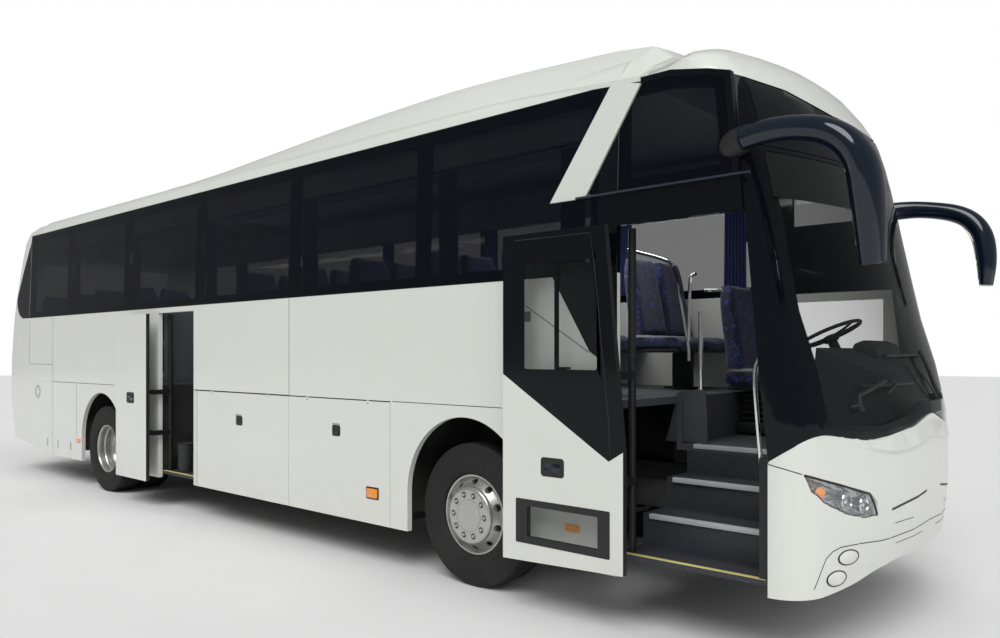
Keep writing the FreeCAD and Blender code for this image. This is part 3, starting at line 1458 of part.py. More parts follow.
driver_x = FRONT - 1480
driver_seat_low = s.platform_top + 380
driver = together(
    "driver_seat_shape",
    seat_solids("driver_seat", driver_x, driver_seat_low, DRIVER_Y - 250, DRIVER_Y + 250)
    + [box("driver_seat_base", (driver_x + 80, driver_x + 380), (DRIVER_Y - 180, DRIVER_Y + 180),
           (s.platform_top + s.seat_gap, driver_seat_low - s.seat_gap))],
)
keep(driver, "driver_seat")

RACK_LOW = 3000
RACK_HIGH = 3250


def window_inside(height):
    """How far out the inner face of the leaning window frames lies at a height."""
    share = (height - s.belt_height) / (s.gutter_height - s.belt_height)
    return INSIDE - s.gutter_inset * share - s.seat_gap - 0.1


racks = []
for side in (-1, 1):
    inner_y = side * 760
    racks.append(prism("rack_%d" % (side + 1), "YZ", [
        (side * window_inside(RACK_LOW), RACK_LOW), (inner_y, RACK_LOW + 40), (inner_y, RACK_HIGH - 50),
        (inner_y + side * 40, RACK_HIGH), (side * window_inside(RACK_HIGH), RACK_HIGH)],
        BACK + 1400, FRONT_DOOR_BACK - 300))
keep(together("racks_shape", racks), "overhead_racks")

GRAB_RAIL_Y = 40 - s.platform_edge
grab_rails = [
    cylinder("stanchion_%d" % number, "Z", 16, (x, GRAB_RAIL_Y, s.platform_top + s.seat_gap), tall)
    for number, (x, tall) in enumerate(((FRONT - 700, 640), (FRONT_DOOR_BACK + 60, 900)))
]
keep(together("grab_rails_shape", grab_rails), "grab_rails")


# Outside fittings.


HORN_SIDES = 12


def make_mirrors():
    """Two horn mirrors: a root on the pillar, an arm forward and a hanging head."""
    horns = []
    nose_body = end_shell(NOSE_LEVELS, -float(s.seat_gap), NOSE_BASE)
    gap = float(s.seat_gap)
    side_band = {
        side: lean_slab(side, float(FRONT) - 2000, float(FRONT) - 500, 300, 1000, 400, -gap) for side in (-1, 1)
    }
    for side in (-1, 1):
        front = float(FRONT)
        path = [
            Vector(front - 880, side * 1200, 2790),
            Vector(front - 700, side * 1275, 2810),
            Vector(front - 400, side * 1325, 2790),
            Vector(front - 130, side * 1345, 2720),
            Vector(front - 20, side * 1345, 2590),
            Vector(front + 5, side * 1337, 2360),
            Vector(front, side * 1330, 2100),
        ]
        widths = [(40, 75), (42, 75), (52, 62), (70, 66), (84, 76), (92, 70), (70, 45)]
        outlines = []
        for index, point in enumerate(path):
            before = path[max(index - 1, 0)]
            after = path[min(index + 1, len(path) - 1)]
            way = after - before
            way.normalize()
            across = Vector(0, 1, 0)
            up = way.cross(across)
            up.normalize()
            wide, deep = widths[index]
            corners = []
            for number in range(HORN_SIDES):
                angle = 2 * math.pi * (number + 0.5) / HORN_SIDES
                corners.append(point + across * (wide * math.cos(angle)) + up * (deep * math.sin(angle)))
            outlines.append(Part.makePolygon(corners + corners[:1]))
        horns.append(Part.makeLoft(outlines, True, True).cut(nose_body).cut(side_band[side]))
    keep(feature("mirrors_shape", Part.makeCompound(horns)), "mirrors")


make_mirrors()

# Side marker lamps, seated on the lower walls.
markers = []
for side in (-1, 1):
    outer_face = SIDE if side > 0 else -SIDE - 12
    for number, setback in enumerate((1750, 9410)):
        markers.append(box("marker_%d_%d" % (side + 1, number), (FRONT - setback - 50, FRONT - setback + 50),
                           (outer_face, outer_face + 12), (545, 585)))
keep(together("markers_shape", markers), "marker_lamps")


def check_and_export():
    """Stop on any object that failed, then write one STEP file for each kept piece."""
    doc.recompute()
    bad = [item.Name for item in doc.Objects if "Invalid" in item.State or "Error" in item.State]
    if bad:
        raise SystemExit("these objects failed: " + ", ".join(bad))
    os.makedirs("parts", exist_ok=True)
    for item in kept:
        if item.Shape.isNull() or not item.Shape.isValid():
            raise SystemExit("the shape of %s is not sound" % item.Label)
        if not re.fullmatch("[a-z_]+", item.Label):
            raise SystemExit("the name %s is not plain" % item.Label)
        item.Shape.exportStep("parts/%s.step" % item.Label)
    print(len(kept), "pieces written")


check_and_export()
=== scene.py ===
"""Looks of a two-axle touring coach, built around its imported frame. All lengths are in metres."""

import logging
import math
import random
from dataclasses import dataclass
from enum import Enum
from typing import Callable, Iterable, Optional, Sequence

import bmesh
import bpy
from mathutils import Matrix, Vector
from mathutils.bvhtree import BVHTree


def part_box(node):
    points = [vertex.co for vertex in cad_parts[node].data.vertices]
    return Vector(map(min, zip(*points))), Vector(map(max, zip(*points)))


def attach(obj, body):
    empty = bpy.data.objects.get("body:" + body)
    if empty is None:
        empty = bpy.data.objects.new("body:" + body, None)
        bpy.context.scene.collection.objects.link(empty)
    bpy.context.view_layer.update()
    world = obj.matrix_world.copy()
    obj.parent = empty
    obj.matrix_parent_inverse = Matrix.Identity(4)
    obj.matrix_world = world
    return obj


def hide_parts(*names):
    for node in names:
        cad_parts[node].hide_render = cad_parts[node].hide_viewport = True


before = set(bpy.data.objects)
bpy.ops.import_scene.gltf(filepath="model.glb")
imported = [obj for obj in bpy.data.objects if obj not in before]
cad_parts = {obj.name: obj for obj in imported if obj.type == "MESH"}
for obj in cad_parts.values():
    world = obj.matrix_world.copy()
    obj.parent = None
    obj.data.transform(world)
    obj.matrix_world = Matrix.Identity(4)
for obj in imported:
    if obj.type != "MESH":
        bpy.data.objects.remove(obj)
LOG = logging.getLogger("coach")

Point = tuple[float, float, float]
Pair = tuple[float, float]
Outline = tuple[Pair, ...]
Curve = tuple[Point, ...]
Track = list[tuple[Vector, Vector]]
Fed = dict[str, object]
Socket = bpy.types.NodeSocket

SIDE_FACE = 1.275
GUTTER = 3.28
FRONT_AXLE = 3.3
REAR_AXLE = -2.75
WHEEL_HEIGHT = 0.51
ROOT = "coach_body"
FORWARD = Vector((1.0, 0.0, 0.0))
LEFTWARD = Vector((0.0, 1.0, 0.0))
UPWARD = Vector((0.0, 0.0, 1.0))


class Side(Enum):
    """The two sides of the coach, with the sign of Y on each."""

    LEFT = 1
    RIGHT = -1

    @property
    def word(self) -> str:
        """The side's name in lower case."""
        return self.name.lower()


class Way(Enum):
    """The axis that a form is extruded or turned along."""

    X = 0
    Y = 1
    Z = 2


# Wiring of materials.


class Web:
    """A node tree that is being wired.

    Args:
        tree: the node tree of a material or of a group.
    """

    def __init__(self, tree: bpy.types.NodeTree) -> None:
        self.tree = tree

    def feed(self, node: bpy.types.Node, inputs: dict) -> None:
        """Link sockets to a node's inputs, or set their values, by the inputs' names or numbers."""
        for key, value in inputs.items():
            if isinstance(value, Socket):
                self.tree.links.new(value, node.inputs[key])
            else:
                node.inputs[key].default_value = value

    def node(self, kind: str, inputs: Optional[dict] = None, **settings: object) -> bpy.types.Node:
        """Add a node.

        Args:
            kind: Blender's name of the node, without the word ShaderNode.
            inputs: values or output sockets by the name or number of the input.
            settings: the node's own properties.

        Returns:
            The new node.
        """
        made = self.tree.nodes.new(kind if kind.startswith("Node") else "ShaderNode" + kind)
        for key, value in settings.items():
            setattr(made, key, value)
        self.feed(made, inputs or {})
        return made

    def math(self, operation: str, *values: object, clamp: bool = False) -> Socket:
        """A Math node's output."""
        return self.node("Math", dict(enumerate(values)), operation=operation, use_clamp=clamp).outputs[0]

    def place(self) -> Socket:
        """The point of the surface in the object's own metres."""
        return self.node("TexCoord").outputs["Object"]

    def height(self, axis: str) -> Socket:
        """One of the three numbers of that point."""
        return self.node("SeparateXYZ", {0: self.place()}).outputs[axis]

    def noise(self, scale: object, detail: float = 3.0, distortion: float = 0.0,
              place: Optional[Socket] = None) -> Socket:
        """The grey value of a noise texture."""
        inputs = {"Vector": place or self.place(), "Scale": scale, "Detail": detail, "Distortion": distortion}
        return self.node("TexNoise", inputs).outputs["Fac"]

    def wave(self, scale: object, way: str) -> Socket:
        """The grey value of straight waves across an axis."""
        inputs = {"Vector": self.place(), "Scale": scale}
        return self.node("TexWave", inputs, bands_direction=way).outputs["Fac"]

    def spread(self, value: object, low: float, high: float, start: float = 0.0, end: float = 1.0) -> Socket:
        """A value's range from low to high, spread to start to end."""
        inputs = {"Value": value, "From Min": low, "From Max": high, "To Min": start, "To Max": end}
        return self.node("MapRange", inputs).outputs["Result"]

    def mix(self, mask: object, first: object, second: object) -> Socket:
        """Two colours mixed by a mask."""
        first, second = (value if isinstance(value, Socket) else (*value, 1.0) for value in (first, second))
        return self.node("Mix", {0: mask, 6: first, 7: second}, data_type="RGBA").outputs[2]

    def blend(self, mask: object, first: object, second: object) -> Socket:
        """Two numbers mixed by a mask."""
        return self.node("Mix", {0: mask, 2: first, 3: second}, data_type="FLOAT").outputs[0]

    def bump(self, height: object, distance: float, strength: float = 0.5) -> Socket:
        """The normal that a height gives."""
        inputs = {"Height": height, "Distance": distance, "Strength": strength}
        return self.node("Bump", inputs).outputs["Normal"]


class Effects:
    """Shader node groups that several finishes share, each built once."""

    def __init__(self) -> None:
        self.groups: dict[str, bpy.types.NodeTree] = {}

    def mottle(self, web: Web, takes: dict[str, Socket]) -> Socket:
        """Slow uneven patches, for paint, rubber and metal alike."""
        centred = web.math("SUBTRACT", web.noise(takes["Scale"], 4.0), 0.5)
        return web.math("ADD", web.math("MULTIPLY", centred, takes["Contrast"]), 0.5, clamp=True)

    def grain(self, web: Web, takes: dict[str, Socket]) -> Socket:
        """Fine pitted grain, as on rubber, moulded plastic and castings."""
        cells = web.node("TexVoronoi", {"Vector": web.place(), "Scale": takes["Scale"]}).outputs["Distance"]
        return web.math("MULTIPLY", web.math("ADD", cells, web.noise(takes["Scale"], 2.0)), 0.5)

    def road_dust(self, web: Web, takes: dict[str, Socket]) -> Socket:
        """Dust that thins out with the height above the ground."""
        fall = web.math("SUBTRACT", 1.0, web.math("DIVIDE", web.height("Z"), takes["Reach"]), clamp=True)
        patches = web.spread(web.noise(6.0, 6.0), 0.35, 0.75)
        return web.math("MULTIPLY", web.math("MULTIPLY", fall, patches), takes["Amount"], clamp=True)

    def weave(self, web: Web, takes: dict[str, Socket]) -> Socket:
        """Crossed threads of a woven cloth."""
        along, across, up = (web.wave(takes["Threads"], way) for way in ("X", "Y", "Z"))
        return web.math("MAXIMUM", web.math("MULTIPLY", along, up), web.math("MULTIPLY", across, up))

    def above_line(self, web: Web, takes: dict[str, Socket]) -> Socket:
        """What lies above a straight line in side view."""
        along = web.math("SUBTRACT", web.height("X"), takes["At X"])
        line = web.math("MULTIPLY_ADD", along, takes["Slope"], takes["At Z"])
        return web.math("GREATER_THAN", web.height("Z"), line)

    def use(self, web: Web, effect: Callable[[Web, dict[str, Socket]], Socket], **values: float) -> Socket:
        """Place an effect's group in a material, and build it the first time.

        Args:
            web: the material's web.
            effect: the method that wires the group.
            values: the group's inputs, with spaces written as underscores.

        Returns:
            The group's output.
        """
        name = effect.__name__
        if name not in self.groups:
            tree = self.groups[name] = bpy.data.node_groups.new(name, "ShaderNodeTree")
            for socket in values:
                tree.interface.new_socket(name=socket.replace("_", " "), in_out="INPUT",
                                          socket_type="NodeSocketFloat")
            tree.interface.new_socket(name="Result", in_out="OUTPUT", socket_type="NodeSocketFloat")
            inner = Web(tree)
            takes = inner.node("NodeGroupInput").outputs
            inner.node("NodeGroupOutput", {0: effect(inner, {socket.name: socket for socket in takes})})
        return web.node("Group", {key.replace("_", " "): value for key, value in values.items()},
                        node_tree=self.groups[name]).outputs[0]


EFFECTS = Effects()
MATERIALS: dict[str, bpy.types.Material] = {}


@dataclass(frozen=True)
class Finish:
    """What every finish has: its name, colour, roughness and the record's slot that it stands for."""

    name: str
    colour: Point
    roughness: float
    slot: str

    def material(self) -> bpy.types.Material:
        """The finish's material, built the first time."""
        if self.name not in MATERIALS:
            made = MATERIALS[self.name] = bpy.data.materials.new(self.name)
            made.use_nodes = True
            web = Web(made.node_tree)
            shader = made.node_tree.nodes["Principled BSDF"]
            web.feed(shader, {"Base Color": (*self.colour, 1.0), "Roughness": self.roughness})
            web.feed(shader, self.inputs(web))
        return MATERIALS[self.name]

    def inputs(self, web: Web) -> Fed:
        """What feeds the shader, by the name of its input."""
        return self.drift(web, 0.06, 2.0)

    def drift(self, web: Web, amount: float, scale: float, rough: Optional[Socket] = None) -> Fed:
        """Let the colour drift a little over the surface, and the roughness with it.

        Args:
            web: the material's web.
            amount: how far the colour drifts, as a share.
            scale: patches a metre.
            rough: a roughness that is used as it is, or None.

        Returns:
            The shader's colour and roughness.
        """
        mask = EFFECTS.use(web, EFFECTS.mottle, Scale=scale, Contrast=1.6)
        darker, lighter = ([min(1.0, part * (1 + turn * amount)) for part in self.colour] for turn in (-1, 1))
        rough = rough or web.spread(mask, 0.0, 1.0, self.roughness * 0.85, min(1.0, self.roughness * 1.15))
        return {"Base Color": web.mix(mask, darker, lighter), "Roughness": rough}


@dataclass(frozen=True)
class CoachPaint(Finish):
    """Off-white coach paint under clear coat. What lies above all lines of its livery is black."""

    livery: Curve = ()
    dust: float = 0.25
    black: Point = (0.004, 0.005, 0.007)
    outer_face: float = 1.262

    def inputs(self, web: Web) -> Fed:
        """Mottled paint, a little road dust low down and the faint peel of sprayed paint."""
        fed = self.drift(web, 0.012, 0.5)
        dusty = EFFECTS.use(web, EFFECTS.road_dust, Reach=0.75, Amount=self.dust)
        fed["Base Color"] = web.mix(dusty, fed["Base Color"], (0.34, 0.32, 0.29))
        fed["Roughness"] = web.math("ADD", fed["Roughness"], web.math("MULTIPLY", dusty, 0.5), clamp=True)
        fed["Coat Weight"] = 0.35
        if self.livery:
            first, second = (EFFECTS.use(web, EFFECTS.above_line, At_X=x, At_Z=z, Slope=slope)
                             for x, z, slope in self.livery)
            outside = web.math("GREATER_THAN", web.math("ABSOLUTE", web.height("Y")), self.outer_face)
            mask = web.math("MULTIPLY", web.math("MULTIPLY", first, second), outside)
            fed["Base Color"] = web.mix(mask, fed["Base Color"], self.black)
            fed["Roughness"] = web.blend(mask, fed["Roughness"], 0.1)
            fed["Coat Weight"] = web.spread(mask, 0.0, 1.0, 0.4, 0.01)
            fed["Specular IOR Level"] = 0.18
        peel = web.bump(EFFECTS.use(web, EFFECTS.grain, Scale=260.0), 0.0002, 0.05)
        return fed | {"Normal": peel, "Coat Roughness": 0.06}


@dataclass(frozen=True)
class Gloss(Finish):
    """Hard gloss, such as the black frames and the navy mirrors, with faint wiping marks."""

    coat: float = 0.3
    specular: float = 0.35

    def inputs(self, web: Web) -> Fed:
        """Wiping marks that only the roughness shows."""
        rough = web.spread(web.noise(7.0, 8.0, 1.5), 0.35, 0.8, self.roughness * 0.7, self.roughness * 2.2)
        return self.drift(web, 0.15, 1.2, rough) | {"Coat Weight": self.coat, "Coat Roughness": 0.03,
                                                    "Specular IOR Level": self.specular}


@dataclass(frozen=True)
class Glass(Finish):
    """A pane that lets part of the light through and mirrors more at a flat angle."""

    cover: float = 0.7
    specular: float = 0.5
    clear_below: float = 0.0
    clear_cover: float = 0.3
    dark_above: float = 0.0
    dark_cover: float = 0.96

    def inputs(self, web: Web) -> Fed:
        """A tint that covers by its share, more at a flat angle, with faint wiping marks."""
        flat = web.math("POWER", web.node("LayerWeight", {"Blend": 0.5}).outputs["Facing"], 3.0)
        cover = web.spread(flat, 0.0, 1.0, self.cover, 1.0)
        if self.clear_below:
            cover = web.blend(self.above(web, self.clear_below), self.clear_cover, cover)
        if self.dark_above:
            cover = web.blend(self.above(web, self.dark_above), cover, self.dark_cover)
        rough = web.spread(web.noise(5.0, 6.0, 1.0), 0.4, 0.8, self.roughness, self.roughness * 2.5)
        return {"Alpha": cover, "Roughness": rough, "Specular IOR Level": self.specular, "Metallic": 0.0,
                "Transmission Weight": 0.0}

    def above(self, web: Web, height: float) -> Socket:
        """What lies above a height."""
        return EFFECTS.use(web, EFFECTS.above_line, At_X=0.0, At_Z=height, Slope=0.0)


@dataclass(frozen=True)
class Grained(Finish):
    """A pitted or rough stuff: rubber, moulded plastic, castings, underseal."""

    pits: float = 350.0
    depth: float = 0.0006
    dust: float = 0.0
    metallic: float = 0.0

    def inputs(self, web: Web) -> Fed:
        """Pits in the normal, and dust where the piece lies low."""
        fed = self.drift(web, 0.18, 3.0)
        if self.dust:
            dusty = EFFECTS.use(web, EFFECTS.road_dust, Reach=1.2, Amount=self.dust)
            fed["Base Color"] = web.mix(dusty, fed["Base Color"], (0.22, 0.2, 0.17))
        pits = web.bump(EFFECTS.use(web, EFFECTS.grain, Scale=self.pits), self.depth)
        return fed | {"Normal": pits, "Metallic": self.metallic}


@dataclass(frozen=True)
class Metal(Finish):
    """Bare, plated or silver-painted metal with fine scratches."""

    metallic: float = 1.0
    scratch: float = 0.3

    def inputs(self, web: Web) -> Fed:
        """Long fine scratches that change the roughness."""
        stretched = web.node("Mapping", {"Vector": web.place(), "Scale": (40.0, 900.0, 900.0)}).outputs[0]
        low, high = (self.roughness * (1 + turn * self.scratch) for turn in (-1, 1))
        rough = web.spread(web.noise(1.0, 2.0, place=stretched), 0.3, 0.7, low, high)
        return self.drift(web, 0.05, 5.0, rough) | {"Metallic": self.metallic}


@dataclass(frozen=True)
class Cloth(Finish):
    """Woven cloth, plain or with a scattered pattern in a second colour."""

    second: Point = (0.02, 0.06, 0.3)
    threads: float = 260.0
    pattern: float = 0.0

    def inputs(self, web: Web) -> Fed:
        """Threads in the normal, scattered leaves of the second colour and a soft sheen."""
        fed = self.drift(web, 0.12, 4.0)
        if self.pattern:
            bent = web.node("TexNoise", {"Vector": web.place(), "Scale": 9.0, "Detail": 1.0}).outputs["Color"]
            moved = web.node("Mix", {0: 0.08, 4: web.place(), 5: bent}, data_type="VECTOR").outputs[1]
            cells = web.node("TexVoronoi", {"Vector": moved, "Scale": 26.0}, feature="SMOOTH_F1")
            leaves = web.spread(cells.outputs["Distance"], 0.22, 0.3, self.pattern, 0.0)
            fed["Base Color"] = web.mix(leaves, fed["Base Color"], self.second)
        threads = web.bump(EFFECTS.use(web, EFFECTS.weave, Threads=self.threads), 0.0008)
        return fed | {"Normal": threads, "Sheen Weight": 0.25, "Sheen Roughness": 0.5}


@dataclass(frozen=True)
class Ribbed(Finish):
    """A floor covering with fine ribs along the coach and worn tops."""

    ribs: float = 16.0
    speckle: Point = (0.16, 0.17, 0.2)

    def inputs(self, web: Web) -> Fed:
        """Ribs in the normal and coloured specks in the covering."""
        fed = self.drift(web, 0.15, 3.0)
        specks = web.spread(web.noise(420.0, 2.0), 0.62, 0.68)
        return fed | {"Base Color": web.mix(specks, fed["Base Color"], self.speckle),
                      "Normal": web.bump(web.wave(self.ribs, "Y"), 0.0012, 0.6)}


@dataclass(frozen=True)
class Lens(Finish):
    """A lamp cover of clear or coloured plastic with fine flutes."""

    cover: float = 1.0
    flutes: float = 40.0

    def inputs(self, web: Web) -> Fed:
        """Flutes in the normal under a clear gloss."""
        flutes = web.bump(web.wave(self.flutes, "Z"), 0.0015)
        return self.drift(web, 0.1, 12.0) | {"Normal": flutes, "Coat Weight": 1.0, "Coat Roughness": 0.03,
                                             "Alpha": self.cover}


WALL_LIVERY = ((4.376, 1.666, -1.64), (4.376, 1.666, -0.65))
LEAF_LIVERY = ((4.622, 1.026, -0.607), (4.622, 1.026, 0.62))

WHITE = (0.66, 0.67, 0.63)
PAINT = CoachPaint("coach_paint", WHITE, 0.3, "body_paint")
WALL_PAINT = CoachPaint("wall_paint", WHITE, 0.3, "body_paint", livery=WALL_LIVERY)
LEAF_PAINT = CoachPaint("leaf_paint", WHITE, 0.3, "door_paint", livery=LEAF_LIVERY)
PLAIN_LEAF_PAINT = CoachPaint("plain_leaf_paint", WHITE, 0.3, "door_paint")
FAIRING_PAINT = CoachPaint("fairing_paint", WHITE, 0.34, "fairing_paint", dust=0.0)
BLACK_GLOSS = Gloss("black_gloss", (0.003, 0.0035, 0.006), 0.07, "black_gloss", coat=0.05, specular=0.2)
NAVY = Gloss("navy_gloss", (0.003, 0.008, 0.018), 0.1, "mirror_shell", coat=0.3, specular=0.4)
TINTED = Glass("tinted_glass", (0.002, 0.0025, 0.007), 0.03, "tinted_glass", cover=0.6, specular=0.22,
               clear_below=2.13, clear_cover=0.15)
SCREEN_LOW = Glass("screen_glass", (0.004, 0.006, 0.006), 0.02, "screen_glass", cover=0.1, specular=0.4,
                   dark_above=2.5)
SCREEN_HIGH = Glass("dark_screen_glass", (0.003, 0.004, 0.006), 0.03, "screen_glass", cover=0.9, specular=0.3)
DOOR_GLASS = Glass("door_glass", (0.03, 0.04, 0.036), 0.02, "door_glass", cover=0.12, specular=0.4)
TYRE = Grained("tyre_rubber", (0.007, 0.007, 0.0075), 0.78, "tyre", pits=240.0, depth=0.0006, dust=0.06)
RUBBER = Grained("seal_rubber", (0.012, 0.012, 0.013), 0.6, "rubber", pits=500.0, depth=0.0003)
UNDERSEAL = Grained("underseal", (0.012, 0.012, 0.012), 0.85, "underseal", pits=90.0, depth=0.002, dust=0.3)
CHASSIS = Grained("chassis_black", (0.02, 0.02, 0.022), 0.55, "chassis_paint", pits=160.0, dust=0.35)
CASTING = Grained("painted_casting", (0.035, 0.036, 0.038), 0.6, "axle_casting", pits=120.0, depth=0.0012,
                  dust=0.4, metallic=0.3)
DASH = Grained("dash_plastic", (0.02, 0.021, 0.023), 0.62, "dash_plastic", pits=420.0, depth=0.0005)
MATT_BLACK = Grained("matt_black", (0.012, 0.012, 0.013), 0.5, "dash_plastic", pits=450.0, depth=0.0003)
LINING = Grained("grey_lining", (0.3, 0.3, 0.31), 0.75, "lining", pits=300.0)
DARK_LINING = Grained("dark_lining", (0.045, 0.055, 0.06), 0.7, "lining", pits=300.0)
STRIP = Grained("light_nosing", (0.42, 0.43, 0.45), 0.45, "step_covering", pits=260.0, depth=0.0006)
YELLOW = Grained("yellow_edge", (0.62, 0.55, 0.2), 0.4, "step_covering", pits=260.0, depth=0.0004)
SILVER = Metal("wheel_silver", (0.5, 0.5, 0.49), 0.34, "rim_silver", metallic=0.8)
ARM_METAL = Metal("arm_enamel", (0.012, 0.012, 0.014), 0.4, "door_metal", metallic=0.2)
CHROME = Metal("chrome", (0.8, 0.8, 0.8), 0.1, "chrome", scratch=0.4)
FACETS = Metal("lamp_facets", (0.42, 0.41, 0.43), 0.16, "lamp_glass", metallic=1.0, scratch=0.0)
REFLECTOR = Metal("lamp_reflector", (0.9, 0.9, 0.9), 0.06, "lamp_glass", scratch=0.2)
SEAT_CLOTH = Cloth("seat_cloth", (0.006, 0.012, 0.05), 0.9, "seat_fabric", pattern=0.85)
CURTAIN = Cloth("curtain_cloth", (0.006, 0.016, 0.09), 0.92, "seat_fabric", threads=420.0)
HEADREST = Cloth("headrest_cloth", (0.02, 0.02, 0.024), 0.85, "seat_fabric", threads=320.0)
FLOORING = Ribbed("floor_covering", (0.05, 0.052, 0.06), 0.6, "floor_covering")
STEP = Ribbed("step_covering", (0.022, 0.025, 0.032), 0.5, "step_covering", ribs=26.0)
CLEAR_LENS = Lens("clear_lens", (0.75, 0.78, 0.8), 0.04, "lamp_glass", cover=0.18)
AMBER_LENS = Lens("amber_lens", (0.85, 0.26, 0.01), 0.1, "amber_lens")
RED_LENS = Lens("red_lens", (0.42, 0.006, 0.006), 0.1, "tail_lens")
MILKY = Lens("milky_lens", (0.72, 0.72, 0.7), 0.2, "lamp_glass", cover=0.95, flutes=60.0)


# Building of meshes.


def oval(wide: float, tall: float, steps: int) -> list[Pair]:
    """Places round an oval with these two radii, from the end of its width on."""
    turns = [2 * math.pi * step / steps for step in range(steps)]
    return [(wide * math.cos(turn), tall * math.sin(turn)) for turn in turns]


def rounded(low: Pair, high: Pair, radius: float, steps: int = 5) -> list[Pair]:
    """A rectangle's outline with its corners rounded off.

    Args:
        low: the lowest corner.
        high: the highest corner.
        radius: the corners' radius.
        steps: steps a corner.

    Returns:
        The outline's places in order.
    """
    centres = ((high[0] - radius, high[1] - radius, 0.0), (low[0] + radius, high[1] - radius, 0.5),
               (low[0] + radius, low[1] + radius, 1.0), (high[0] - radius, low[1] + radius, 1.5))
    outline = []
    for u, v, start in centres:
        for turn in (math.pi * (start + 0.5 * step / steps) for step in range(steps + 1)):
            outline.append((u + radius * math.cos(turn), v + radius * math.sin(turn)))
    return outline


def spot(way: Way, level: float, across: Pair, centre: Point = (0.0, 0.0, 0.0)) -> Vector:
    """The point at a level along an axis and at two places across it, in the order X, Y, Z, from a centre."""
    place = list(across)
    place.insert(way.value, level)
    return Vector([start + reach for start, reach in zip(centre, place)])


def halve(points: Sequence[Vector]) -> list[Vector]:
    """Cut a line's corners once, its ends kept."""
    cut = [points[0]]
    for here, there in zip(points, points[1:]):
        cut += [here.lerp(there, 0.25), here.lerp(there, 0.75)]
    return [*cut, points[-1]]


def mirrored(side: Side, corners: Sequence[Sequence[float]]) -> list[tuple[float, ...]]:
    """Places given for the left side, brought to a side. Each ends with its y and z."""
    return [(*place[:-2], side.value * place[-2], place[-1]) for place in corners]


def divided(corners: Sequence[Sequence[float]], step: float) -> list[tuple[float, ...]]:
    """Places about a step apart on a line with straight parts."""
    places = []
    for start, end in zip(corners, corners[1:]):
        count = max(1, round(math.dist(start, end) / step))
        places += [tuple(a + (b - a) * index / count for a, b in zip(start, end)) for index in range(count)]
    return [*places, corners[-1]]


def through(rows: Sequence[Sequence[float]], steps: int) -> list[list[float]]:
    """Rows of numbers with smooth rows between them.

    Args:
        rows: the rows that are passed through.
        steps: how many rows each gap is divided into.

    Returns:
        The finer rows.
    """
    finer = []
    for index in range(len(rows) - 1):
        near = [rows[min(max(index + shift, 0), len(rows) - 1)] for shift in (-1, 0, 1, 2)]
        for t in (step / steps for step in range(steps)):
            finer.append([0.5 * (2 * b + (c - a) * t + (2 * a - 5 * b + 4 * c - d) * t * t
                                 + (3 * b - a - 3 * c + d) * t ** 3) for a, b, c, d in zip(*near)])
    return finer + [list(rows[-1])]


def directions(points: Sequence[Vector]) -> list[Vector]:
    """Which way a line runs at each of its points."""
    before, after = [points[0], *points[:-1]], [*points[1:], points[-1]]
    return [(there - here).normalized() for here, there in zip(before, after)]


def raised(track: Track, lift: float) -> list[Vector]:
    """A track's points at a height over the surface."""
    return [point + normal * lift for point, normal in track]


def new_object(name: str, data: Optional[bpy.types.ID]) -> bpy.types.Object:
    """Place a new object in the scene."""
    made = bpy.data.objects.new(name, data)
    bpy.context.scene.collection.objects.link(made)
    return made


def new_mesh(name: str, work: bmesh.types.BMesh) -> bpy.types.Mesh:
    """Turn finished work into a mesh."""
    data = bpy.data.meshes.new(name)
    work.to_mesh(data)
    work.free()
    return data


